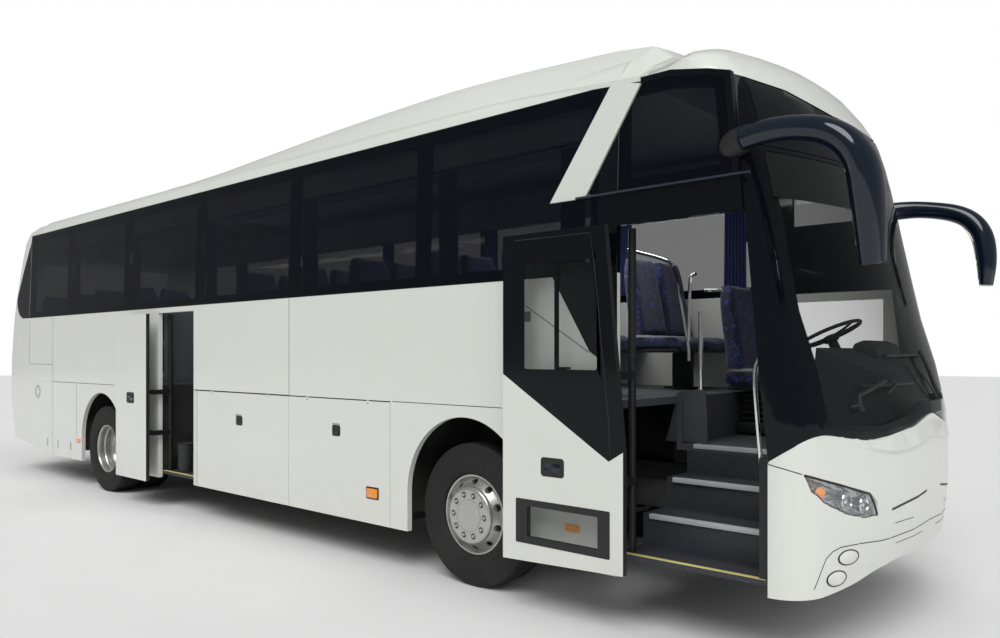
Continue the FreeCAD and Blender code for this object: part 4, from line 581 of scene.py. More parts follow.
class Form:
    """A mesh under construction, in the frame's own metres."""

    def __init__(self) -> None:
        self.mesh = bmesh.new()

    def block(self, low: Point, high: Point, bevel: float = 0.0) -> None:
        """Add a block between two corners, its edges rounded."""
        size = Matrix.Diagonal((*(Vector(high) - Vector(low)), 1.0))
        middle = Matrix.Translation((Vector(low) + Vector(high)) / 2)
        self.bevel(bmesh.ops.create_cube(self.mesh, size=1.0, matrix=middle @ size)["verts"], bevel)

    def bevel(self, verts: Iterable[bmesh.types.BMVert], offset: float) -> None:
        """Round the edges between some vertices."""
        if offset > 0:
            edges = {edge for vert in verts for edge in vert.link_edges}
            bmesh.ops.bevel(self.mesh, geom=list(edges), offset=offset, segments=2, profile=0.5,
                            affect="EDGES", clamp_overlap=True)

    def prism(self, outline: Sequence[Pair], way: Way, low: float, high: float, bevel: float = 0.0) -> None:
        """Add a prism.

        Args:
            outline: its corners in the two axes other than way, in the order X, Y, Z.
            way: the axis that it runs along.
            low: where it starts.
            high: where it ends.
            bevel: how far its edges are rounded.
        """
        lower, upper = ([self.mesh.verts.new(spot(way, level, corner)) for corner in outline]
                        for level in (low, high))
        self.mesh.faces.new(lower)
        self.mesh.faces.new(upper[::-1])
        for index in range(len(outline)):
            self.mesh.faces.new((lower[index - 1], upper[index - 1], upper[index], lower[index]))
        self.bevel(lower + upper, bevel)

    def loops(self, rings: Sequence[Sequence[Vector]], closed: bool = True,
              capped: bool = True) -> list[bmesh.types.BMVert]:
        """Add a skin over rings of points.

        Args:
            rings: rings with as many points each.
            closed: whether each ring closes on itself.
            capped: whether the first and last ring are filled.

        Returns:
            The new vertices.
        """
        made = [[self.mesh.verts.new(point) for point in ring] for ring in rings]
        count = len(made[0])
        for lower, upper in zip(made, made[1:]):
            for index in range(count if closed else count - 1):
                following = (index + 1) % count
                self.mesh.faces.new((lower[index], lower[following], upper[following], upper[index]))
        if capped:
            self.mesh.faces.new(made[0][::-1])
            self.mesh.faces.new(made[-1])
        return sum(made, [])

    def sheet(self, rows: Sequence[Sequence[Vector]]) -> None:
        """Add an open skin over rows of points."""
        self.loops(rows, closed=False, capped=False)

    def band(self, rings: Sequence[Sequence[Vector]]) -> None:
        """Add a skin over rings of points, open at both ends."""
        self.loops(rings, capped=False)

    def lathe(self, profile: Sequence[Pair], centre: Point, way: Way, segments: int = 96) -> None:
        """Add a form turned about an axis.

        Args:
            profile: radius and place along the axis of each corner.
            centre: the axis passes here, and places along it are counted from here.
            way: the axis.
            segments: how many steps a turn has.
        """
        self.band([[spot(way, along, corner, centre) for corner in oval(radius, radius, segments)]
                   for radius, along in profile])

    def tube(self, path: Sequence[Point], radius: float, sides: int = 12, smooth: int = 0) -> None:
        """Add a round tube along a path, its corners rounded by a smooth curve where asked."""
        points = [Vector(point) for point in path]
        for _ in range(smooth):
            points = halve(points)
        self.sweep(points, [(radius, radius)] * len(points), sides)

    def sweep(self, path: Sequence[Point], sizes: Sequence[Pair], sides: int,
              across: Optional[Vector] = None) -> None:
        """Add an oval tube through points.

        Args:
            path: the middle of each section.
            sizes: half width and half depth of each section.
            sides: how many corners a section has.
            across: the direction of the sections' width, or None for any.
        """
        points = [Vector(point) for point in path]
        rings, last = [], across
        for point, way, size in zip(points, directions(points), sizes):
            if last is None:
                last = way.orthogonal()
            wide = (last - way * last.dot(way)).normalized()
            if across is None:
                last = wide
            deep = way.cross(wide)
            rings.append([point + wide * u + deep * v for u, v in oval(*size, sides)])
        self.loops(rings)

    def ribbon(self, track: Track, width: float, lift: float = 0.0006) -> None:
        """Lay a flat ribbon on a surface along a track."""
        rows = []
        for (point, normal), way in zip(track, directions([point for point, _ in track])):
            out, up = way.cross(normal).normalized() * (width / 2), normal * lift
            rows.append([point - out - up, point - out + up, point + out + up, point + out - up])
        self.loops(rows)

    def weld(self, near: float) -> None:
        """Join vertices that lie near each other."""
        bmesh.ops.remove_doubles(self.mesh, verts=self.mesh.verts, dist=near)

    def piece(self, name: str, finish: Finish, body: str = ROOT, sharp: float = 32.0,
              stands_for: Sequence[str] = ()) -> bpy.types.Object:
        """Turn the form into a piece of the coach.

        Args:
            name: the piece's name.
            finish: its finish.
            body: the body that it rides on.
            sharp: edges that turn by more than this many degrees stay sharp.
            stands_for: nodes that it replaces.

        Returns:
            The new object.
        """
        bmesh.ops.recalc_face_normals(self.mesh, faces=self.mesh.faces)
        for face in self.mesh.faces:
            face.smooth = True
        for edge in self.mesh.edges:
            edge.smooth = len(edge.link_faces) == 2 and edge.calc_face_angle(0.0) < math.radians(sharp)
        made = new_object(name, new_mesh(name, self.mesh))
        made.data.materials.append(finish.material())
        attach(made, body)
        if stands_for:
            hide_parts(*stands_for)
        LOG.info("piece %s on %s: %d faces", name, body, len(made.data.polygons))
        return made


def skin(node: str, finish: Finish, body: str = ROOT, move: Optional[Callable[[Vector], Vector]] = None,
         edges: Optional[Finish] = None, sharp: float = 28.0, near: float = 0.00005) -> None:
    """Stand a welded, smoothly shaded copy of a node in for it.

    Args:
        node: the node.
        finish: the copy's finish.
        body: the body that it rides on.
        move: what moves each point of the copy, or None.
        edges: the finish of faces that look neither left nor right, or None for one finish.
        sharp: edges that turn by more than this many degrees stay sharp.
        near: how near vertices are to be joined.
    """
    form = Form()
    form.mesh.from_mesh(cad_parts[node].data)
    for layer in list(form.mesh.loops.layers.float_vector):
        form.mesh.loops.layers.float_vector.remove(layer)
    form.weld(near)
    bmesh.ops.dissolve_degenerate(form.mesh, edges=form.mesh.edges, dist=near)
    if move:
        for vert in form.mesh.verts:
            vert.co = move(vert.co)
    if edges:
        form.mesh.normal_update()
        for face in form.mesh.faces:
            face.material_index = 0 if abs(face.normal.y) > 0.5 else 1
    made = form.piece(node + "_skin", finish, body, sharp, [node])
    if edges:
        made.data.materials.append(edges.material())


def dress(finish: Finish, *nodes: str) -> None:
    """Give nodes a finish and keep their shape."""
    for node in nodes:
        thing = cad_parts[node]
        thing.data.materials.clear()
        thing.data.materials.append(finish.material())


class Surface:
    """The outer face of some nodes, to lay pieces on.

    Args:
        nodes: the nodes' names.
    """

    def __init__(self, *nodes: str) -> None:
        form = bmesh.new()
        for node in nodes:
            form.from_mesh(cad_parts[node].data)
        self.tree = BVHTree.FromBMesh(form)
        form.free()

    def at(self, start: Point, way: Vector) -> Optional[tuple[Vector, Vector]]:
        """Where a ray meets the surface and the outward normal there, or None where it meets nothing."""
        place, normal, _, _ = self.tree.ray_cast(Vector(start), way)
        return None if place is None else (place, normal if normal.dot(way) < 0 else -normal)

    def front(self, y: float, z: float) -> tuple[Vector, Vector]:
        """The nose's surface at a place in front view, or just beside it where a joint is open there."""
        shifts = (0.0, 0.006, -0.006, 0.014, -0.014, 0.024)
        return next(filter(None, (self.at((8.0, y, z + shift), -FORWARD) for shift in shifts)))

    def near(self, place: Point) -> tuple[Vector, Vector]:
        """The surface's nearest point to a place, and the outward normal there."""
        found, normal, _, _ = self.tree.find_nearest(Vector(place))
        return found, normal if normal.dot(found - Vector((found.x * 0.6, 0.0, 1.6))) > 0 else -normal

    def path(self, corners: Sequence[Point]) -> Track:
        """The surface along a line through places near it."""
        return [self.near(place) for place in divided(corners, 0.02)]

    def line(self, corners: Sequence[Pair], step: float = 0.03) -> Track:
        """The surface along a line that is given in front view."""
        return [self.front(*place) for place in divided(corners, step)]


# Outside of the body.


@dataclass
class Shell:
    """The painted and glazed skins of the body, with their joints."""

    seam_width: float = 0.005
    tail_end: float = -5.9992
    joints: tuple[Outline, ...] = (
        ((-5.11, 2.1), (-5.11, 1.52)), ((-4.26, 2.13), (-4.26, 0.34)), ((1.165, 2.135), (1.165, 1.292)),
        ((-4.26, 1.507), (-5.10, 1.507)), ((-4.26, 1.283), (-2.38, 1.283)), ((-3.479, 1.283), (-3.479, 0.6)),
        ((2.54, 1.287), (3.66, 1.287)), ((3.866, 1.967), (4.376, 1.659)))
    right_joints: tuple[Outline, ...] = (((-0.45, 1.287), (-0.45, 0.33)), ((-0.51, 1.287), (1.16, 1.287)))
    recess: Outline = ((-1.167, 0.438), (-1.13, 0.52), (-1.089, 0.59), (-1.047, 0.62), (-0.989, 0.637),
                       (-0.851, 0.641), (-0.659, 0.632), (-0.33, 0.645), (-0.031, 0.666))
    slots: tuple[Outline, ...] = (((-0.541, 0.715), (-0.327, 0.72)), ((-0.509, 0.597), (-0.145, 0.612)))
    # The line of a black strip that is painted as the shadow under the lip over the bumper.
    hatch_slot: Outline = ((-0.589, 0.796), (-0.151, 0.853))
    hatch_seam: Curve = ((5.49, 1.275, 1.082), (5.516, 1.275, 1.076), (5.596, 1.259, 1.057),
                         (5.666, 1.215, 1.033))
    lip: Curve = ((-1.15, 1.226, 1.222), (-1.05, 1.22, 1.212), (-0.937, 1.206, 1.193), (-0.809, 1.188, 1.158),
                  (-0.69, 1.192, 1.134), (-0.555, 1.21, 1.118), (-0.4, 1.227, 1.124), (-0.2, 1.243, 1.147),
                  (0.0, 1.262, 1.172))
    field_foot: Curve = ((5.494, 1.275, 1.077), (5.516, 1.275, 1.091), (5.583, 1.263, 1.136),
                         (5.644, 1.233, 1.179))

    def build(self) -> None:
        """Dress the body's nodes and draw the joints on them."""
        skin("nose_panel", PAINT)
        skin("nose_frame", BLACK_GLOSS)
        skin("windscreen_lower", SCREEN_LOW)
        skin("windscreen_upper", SCREEN_HIGH)
        skin("front_dome", PAINT, move=self.lower_dome)
        skin("rear_wall", PAINT)
        skin("rear_window", TINTED)
        skin("engine_lid", PAINT, "engine_lid", self.draw_in)
        skin("roof_shell", PAINT)
        Fairing().build()
        TailGlass().build()
        dress(WALL_PAINT, "side_wall_left", "side_wall_right")
        dress(PAINT, "flap_left_front", "flap_left_middle", "flap_left_rear", "flap_right_front",
              "flap_right_rear", "diagonal_blades")
        dress(BLACK_GLOSS, "window_frame_left", "window_frame_right")
        dress(TINTED, "side_glass_left", "side_glass_right")
        self.side_joints()
        self.nose_joints()
        self.screen_lip()

    def draw_in(self, place: Vector) -> Vector:
        """Bring the rearmost face in a little, so that the grille may stand on it."""
        return Vector((max(place.x, self.tail_end), place.y, place.z))

    def lower_dome(self, place: Vector) -> Vector:
        """Draw the dome's crown down a little, and its rear end in under the fairing."""
        share = min(1.0, max(0.0, (5.5 - place.x) / 0.5))
        above = max(0.0, place.z - GUTTER)
        rear = min(1.0, max(0.0, (4.98 - place.x) / 0.24)) * min(1.0, above / 0.06)
        return Vector((place.x, place.y * (1 - 0.07 * rear), place.z - (0.22 * share + 0.1 * rear) * above))

    def side_joints(self) -> None:
        """Thin dark lines where the side panels meet."""
        form = Form()
        for side in Side:
            for line in self.joints + (self.right_joints if side is Side.RIGHT else ()):
                points = (Vector((x, side.value * SIDE_FACE, z)) for x, z in line)
                form.ribbon([(point, LEFTWARD * side.value) for point in points], self.seam_width)
        form.piece("side_seams", RUBBER)

    def nose_joints(self) -> None:
        """The bumper's lines, and a black strip over the bumper that is painted shadow under an overhanging
        lip.
        """
        nose = Surface("nose_panel")
        seams, hatch = Form(), Form()
        seams.ribbon(nose.line([*self.recess, *mirrored(Side.RIGHT, self.recess[::-1])]), self.seam_width)
        for side in Side:
            for slot in self.slots:
                seams.ribbon(nose.line(mirrored(side, slot)), 0.004)
            # A wide black strip: painted shadow under the lip over the bumper, then the hatch's real seam.
            hatch.ribbon(nose.line(mirrored(side, self.hatch_slot)), 0.013, 0.001)
            hatch.ribbon(nose.path(mirrored(side, self.hatch_seam)), self.seam_width, 0.0008)
        seams.piece("nose_seams", RUBBER)
        # This piece holds the hatch's seam and the painted lip shadow.
        hatch.piece("nose_hatch_slot", MATT_BLACK)

    def screen_lip(self) -> None:
        """The bevelled lip under the screen, and the straight end of the black field beside it."""
        face = Surface("nose_panel", "nose_frame", "windscreen_lower")
        stations = self.lip + tuple((-y, top, low) for y, top, low in self.lip[-2::-1])
        rows = [[], [], []]
        for y, top, low in through(stations, 6):
            deep = min(0.012, (top - low) * 0.13)
            for row, level, lift in zip(rows, (top, low, low - 0.022), (0.0012, deep, 0.0002)):
                row.extend(raised([face.front(y, level)], lift))
        lip, field = Form(), Form()
        lip.sheet(rows)
        lip.piece("screen_lip", PAINT, sharp=15.0)
        for side in Side:
            lower = face.path(mirrored(side, self.field_foot))
            upper = [face.near(point + UPWARD * (0.034 * (1 - index / len(lower)) + 0.002))
                     for index, (point, _) in enumerate(lower)]
            field.sheet([raised(lower, 0.0008), raised(upper, 0.0008)])
        field.piece("nose_field_ends", BLACK_GLOSS)


@dataclass
class Fairing:
    """The long fairing on the roof, its front end swept down over the dome.

    A station holds its place along the coach, half the crown's width, the edge's and the crown's height, and
    where the foot lies.
    """

    stations: tuple[tuple[float, ...], ...] = (
        (-1.9, 0.98, 3.37, 3.42, 1.17, 3.33), (-1.5, 1.01, 3.475, 3.56, 1.185, 3.4),
        (-0.9, 1.015, 3.49, 3.59, 1.19, 3.4), (0.1, 1.02, 3.53, 3.65, 1.195, 3.4),
        (1.5, 1.025, 3.59, 3.72, 1.2, 3.395), (2.8, 1.02, 3.625, 3.748, 1.2, 3.39),
        (3.5, 1.01, 3.618, 3.735, 1.203, 3.375), (4.0, 0.985, 3.605, 3.705, 1.222, 3.345),
        (4.36, 0.96, 3.595, 3.675, 1.24, 3.312), (4.62, 0.925, 3.575, 3.645, 1.25, 3.29))
    front: tuple[float, ...] = (4.72, 0.87, 3.5, 3.55, 1.251, 3.284)

    def build(self) -> None:
        """One skin over its sections."""
        form = Form()
        form.loops([self.section(row) for row in [*through(self.stations, 8), self.front]])
        form.piece("roof_fairing_skin", FAIRING_PAINT, sharp=24.0, stands_for=["roof_fairing"])

    def section(self, station: Sequence[float]) -> list[Vector]:
        """A closed section: up one side, over the crown and down the other side."""
        x, half, edge, crown, foot_y, foot_z = station
        places = [(foot_y, foot_z - 0.03), (foot_y, foot_z),
                  ((foot_y + half) / 2 + 0.008, (foot_z + edge) / 2 + 0.008),
                  (half + 0.006, edge - 0.006), (half - 0.006, edge + 0.002)]
        for share in (1 - step / 6 for step in range(1, 7)):
            places.append((half * share, crown - (crown - edge) * share ** 2))
        return [Vector((x, y, z)) for y, z in places + mirrored(Side.RIGHT, places[-2::-1])]


@dataclass
class TailGlass:
    """The black side glass where it runs on round the tail's corner."""

    low: float = 2.142
    high: float = 3.262
    start: float = -5.112
    corner: float = 2.41
    rows: int = 28
    columns: int = 14

    def rear_edge(self, height: float) -> float:
        """Where the glass ends at a height, its lower corner rounded."""
        drop = min(1.0, max(0.0, (self.corner - height) / 0.27))
        lean = -5.6 + 0.53 * (max(0.0, height - self.corner) / 0.855) ** 1.15
        return lean + 0.27 * (1 - math.sqrt(1 - drop * drop)) + 0.5 * max(0.0, height - 3.2)

    def build(self) -> None:
        """Lay a sheet of glass on each side of the tail."""
        tail = Surface("rear_wall")
        form = Form()
        for side in Side:
            rows = []
            for level in range(self.rows + 1):
                z = self.low + (self.high - self.low) * level / self.rows
                reach = min(self.rear_edge(z), self.start - 0.02) - self.start
                stations = [self.start + reach * step / self.columns for step in range(self.columns + 1)]
                track = [tail.at((x, side.value * 2.0, z), LEFTWARD * -side.value) for x in stations]
                rows.append(raised(track, 0.0012))
            form.sheet(rows)
        form.piece("tail_corner_glass", BLACK_GLOSS)


@dataclass
class Mirrors:
    """Two horn mirrors in front of the nose, given by the middles and half sizes of their sections."""

    paths: tuple[Curve, ...] = (
        ((5.3, 1.235, 2.72), (5.42, 1.285, 2.74), (5.6, 1.32, 2.735), (5.85, 1.345, 2.675),
         (5.97, 1.345, 2.54), (6.005, 1.337, 2.34), (6.0, 1.33, 2.14)),
        ((5.29, 1.23, 2.785), (5.42, 1.275, 2.812), (5.63, 1.3, 2.808), (5.85, 1.29, 2.755),
         (5.97, 1.245, 2.62), (5.99, 1.2, 2.42), (5.99, 1.14, 2.1)))
    sizes: tuple[Outline, ...] = (
        ((0.04, 0.07), (0.042, 0.068), (0.05, 0.06), (0.068, 0.064), (0.08, 0.072), (0.088, 0.067),
         (0.067, 0.043)),
        ((0.042, 0.068), (0.046, 0.066), (0.056, 0.062), (0.08, 0.068), (0.112, 0.078), (0.125, 0.08),
         (0.102, 0.058)))
    clamp: Curve = ((5.235, 1.2, 2.772), (5.3, 1.236, 2.788), (5.37, 1.262, 2.8))
    clamp_sizes: Outline = ((0.05, 0.078), (0.052, 0.08), (0.05, 0.074))
    head: int = 5
    glass_heights: Outline = ((2.33, 2.56), (2.19, 2.305))

    def build(self) -> None:
        """The shells of both sides in one piece, their clamps and their glasses."""
        form, clamps, glasses = Form(), Form(), Form()
        middles = []
        for side, path, sizes in zip(Side, self.paths, self.sizes):
            points, halves = list(map(Vector, mirrored(side, path))), list(map(Vector, sizes))
            middles.append(points[self.head].y)
            for _ in range(3):
                points, halves = halve(points), halve(halves)
            self.round_end(points, halves)
            form.sweep(points, halves, 32, LEFTWARD)
            low = points[0].z - self.clamp[1][2]
            clamp = [(x, y, z + low) for x, y, z in mirrored(side, self.clamp)]
            clamps.sweep(clamp, self.clamp_sizes, 20, LEFTWARD)
        shell = BVHTree.FromBMesh(form.mesh)
        for middle in middles:
            for low, high in self.glass_heights:
                self.glass(glasses, shell, middle, low, high)
        form.piece("mirror_shells", NAVY, sharp=50.0, stands_for=["mirrors"])
        clamps.piece("mirror_clamps", MATT_BLACK, sharp=50.0)
        glasses.piece("mirror_glasses", REFLECTOR)

    def round_end(self, points: list[Vector], halves: list[Vector]) -> None:
        """Round the lower end over with smaller and smaller sections."""
        end, size = points.pop(), halves.pop()
        back = (points[-1] - end).normalized()
        for share, rise in ((1.0, 0.012), (0.93, 0.005), (0.8, 0.001), (0.5, 0.0)):
            points.append(end + back * rise)
            halves.append(size * share)

    def glass(self, form: Form, shell: BVHTree, middle: float, low: float, high: float) -> None:
        """One glass laid on a head's rear face.

        Args:
            form: the form that takes it.
            shell: the shells.
            middle: where the head's middle lies across the coach.
            low: the glass's foot.
            high: its top.
        """
        rows = []
        for level in range(13):
            z = low + (high - low) * level / 12
            seen = [y for y in (middle - 0.16 + 0.004 * step for step in range(81))
                    if shell.ray_cast(Vector((5.4, y, z)), FORWARD, 0.75)[0]]
            margin = (seen[-1] - seen[0]) * (0.16 + 0.12 * abs(level / 6 - 1) ** 6)
            start, end = seen[0] + margin, seen[-1] - margin
            spots = [Vector((5.4, start + (end - start) * step / 10, z)) for step in range(11)]
            rows.append([shell.ray_cast(place, FORWARD)[0] - FORWARD * 0.003 for place in spots])
        form.sheet(rows)


@dataclass
class Headlamps:
    """Both headlamps: a dark housing with bright facets, round lamps, an amber corner and a clear cover."""

    outline: Outline = ((1.209, 1.027), (0.99, 0.985), (0.771, 0.896), (0.722, 0.85), (0.713, 0.776),
                        (0.845, 0.779), (0.971, 0.814), (1.109, 0.881), (1.18, 0.945))
    top_line: Outline = ((1.209, 1.028), (1.125, 1.0), (1.019, 0.971), (0.895, 0.932), (0.789, 0.902),
                         (0.752, 0.85), (0.72, 0.785))
    middle: Pair = (0.96, 0.88)
    lamps: Curve = ((0.805, 0.842, 0.05), (0.935, 0.872, 0.052))
    amber: Pair = (1.117, 0.928)
    dome: Outline = ((1.0, 0.0), (0.95, 0.008), (0.78, 0.014), (0.5, 0.018), (0.2, 0.0195), (0.02, 0.02))
    dish: Outline = ((1.0, -0.012), (0.94, -0.006), (0.86, -0.014), (0.6, -0.024), (0.34, -0.026),
                     (0.3, -0.016), (0.2, -0.01), (0.03, -0.008))

    def build(self) -> None:
        """Bright bed, lamps, amber lamp, dark edge and cover of both sides."""
        face = Surface("headlamps", "nose_panel")
        bed, cover, amber, bright, edges, brow = (Form() for _ in range(6))
        for side in Side:
            way = side.value
            self.plate(bed, face, side, 0.995, 0.022, 0.014)
            self.plate(cover, face, side, 0.985, 0.0008, 0.0)
            for y, z, radius in self.lamps:
                place, normal = face.front(way * y, z)
                ahead = Vector((normal.x, normal.y * 0.35, 0)).normalized()
                self.turned(bright, place - normal * 0.01, ahead, radius, self.dish, 32)
            place, normal = face.front(way * self.amber[0], self.amber[1])
            self.turned(amber, place - normal * 0.02, normal, 0.034, self.dome, 28)
            for (y0, z0), (y1, z1) in zip(self.top_line[:4], self.top_line[1:]):
                rows = []
                for y, z in ((y0, z0), ((y0 + y1) / 2, (z0 + z1) / 2), (y1, z1)):
                    rise = 0.024 * max(0.0, 1 - ((y - 1.0) / 0.22) ** 2) + 0.004
                    rows.append(raised([face.front(way * y, z), face.front(way * y, z + rise)], 0.0012))
                brow.sheet(rows)
            lower = self.outline[4:] + self.outline[:1]
            for line, width, lift in ((self.top_line, 0.011, 0.0022), (lower, 0.004, 0.0012)):
                edges.ribbon(face.line(mirrored(side, line), 0.02), width, lift)
        bed.piece("headlamp_beds", FACETS, sharp=2.0, stands_for=["headlamps"])
        bright.piece("headlamp_reflectors", REFLECTOR, sharp=20.0)
        amber.piece("headlamp_amber", AMBER_LENS)
        brow.piece("headlamp_brow", PAINT)
        edges.piece("headlamp_edges", MATT_BLACK)
        cover.piece("headlamp_covers", CLEAR_LENS)

    def plate(self, form: Form, face: Surface, side: Side, size: float, inset: float, facets: float) -> None:
        """Add a curved plate behind the nose's surface.

        Args:
            form: the form that takes it.
            face: the nose's surface.
            side: the side of the coach.
            size: its size, as a share of the outline.
            inset: how far behind the surface it lies.
            facets: how deep its bright facets are.
        """
        middle = Vector(self.middle)
        corners = [middle.lerp(Vector(corner), size) for corner in self.outline]
        centre = sum(corners, Vector((0.0, 0.0))) / len(corners)
        edge = [here.lerp(there, part) for here, there in zip(corners, corners[1:] + corners[:1])
                for part in (0.0, 0.25, 0.5, 0.75)]
        rings = []
        for level, share in enumerate((1.0, 0.86, 0.72, 0.58, 0.44, 0.3, 0.16, 0.02)):
            ring = []
            for number, corner in enumerate(edge):
                y, z = centre.lerp(corner, share)
                dip = facets * ((level * 7 + number * 5) % 4) / 3 if level else 0.0
                ring += raised([face.front(side.value * y, z)], -(inset + dip))
            rings.append(ring)
        form.band(rings)

    def turned(self, form: Form, place: Vector, ahead: Vector, radius: float, profile: Sequence[Pair],
               steps: int) -> None:
        """Add a round lens or reflector.

        Args:
            form: the form that takes it.
            place: its middle.
            ahead: where it faces.
            radius: its radius.
            profile: a share of the radius and a place ahead for each of its rings.
            steps: how many corners a ring has.
        """
        where = Matrix.Translation(place) @ ahead.to_track_quat("Z", "X").to_matrix().to_4x4()
        form.band([[where @ Vector((u, v, rise)) for u, v in oval(radius * share, radius * share, steps)]
                   for share, rise in profile])


@dataclass
class SmallLamps:
    """Fog lamps, tail lamps and side markers."""

    fog_places: Outline = ((0.931, 0.577), (1.011, 0.475))
    fog_half: Pair = (0.074, 0.038)
    rim_rings: Outline = ((1.12, 0.0008), (1.08, 0.003), (0.97, 0.003))
    lens_rings: Outline = ((0.97, 0.001), (0.94, 0.004), (0.8, 0.0065), (0.5, 0.008), (0.02, 0.0085))

    def build(self) -> None:
        """All the small lamps."""
        self.fog_lamps()
        self.tail_lamps()
        dress(AMBER_LENS, "marker_lamps")

    def fog_lamps(self) -> None:
        """Two oval lamps in each of the bumper's corners, each in a shadow ring."""
        nose = Surface("nose_panel")
        rims, lamps = Form(), Form()
        for side in Side:
            for y, z in self.fog_places:
                place, normal = nose.front(side.value * y, z)
                across = normal.cross(UPWARD).normalized()
                spots = [across * u + UPWARD * v for u, v in oval(*self.fog_half, 32)]
                for form, rings in ((rims, self.rim_rings), (lamps, self.lens_rings)):
                    form.band([raised([nose.near(place + away * share) for away in spots], lift)
                               for share, lift in rings])
        rims.piece("fog_lamp_rims", DASH)
        lamps.piece("fog_lamps", MILKY)

    def tail_lamps(self) -> None:
        """Tail lamps in three colours on the tail's corners."""
        low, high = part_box("tail_lamps")
        skin("tail_lamps", RED_LENS)
        tail = Surface("tail_lamps")
        for name, finish, share in (("tail_lamp_amber", AMBER_LENS, 0.82), ("tail_lamp_milky", MILKY, 0.12)):
            form = Form()
            z = low.z + (high.z - low.z) * share
            for side in Side:
                found = (tail.at((-8.0, side.value * (1.03 + 0.022 * step), z), FORWARD) for step in range(7))
                form.ribbon(list(filter(None, found)), 0.1, 0.0012)
            form.piece(name, finish)


@dataclass
class Wipers:
    """Two wipers with doubled arms that rest over the lower screen. Each has an arm, a link and a blade."""

    lift: float = 0.03
    sets: tuple[tuple[Outline, ...], ...] = (
        (((0.159, 1.388), (0.07, 1.47), (-0.05, 1.66)), ((0.075, 1.386), (-0.191, 1.586)),
         ((-0.517, 1.638), (0.037, 1.642))),
        (((-0.873, 1.359), (-0.853, 1.428), (-0.6, 1.5)), ((-0.611, 1.427), (-0.485, 1.483)),
         ((-0.805, 1.473), (-0.265, 1.482))))

    def build(self) -> None:
        """Arms, links, blades and pivots."""
        glass = Surface("windscreen_lower", "nose_panel", "nose_frame")
        arms, blades = Form(), Form()
        for arm, link, blade in self.sets:
            for form, line, radius, lift in ((arms, arm, 0.011, self.lift), (arms, link, 0.007, self.lift),
                                             (blades, blade, 0.009, 0.018), (blades, blade, 0.005, 0.006)):
                form.tube(raised(glass.line(line, 0.06), lift), radius, 10)
            pivot = glass.front(*arm[0])
            arms.tube(raised([pivot], -0.01) + raised([pivot], self.lift + 0.012), 0.022, 20)
        arms.piece("wiper_arms", MATT_BLACK)
        blades.piece("wiper_blades", RUBBER)


# Wheels.


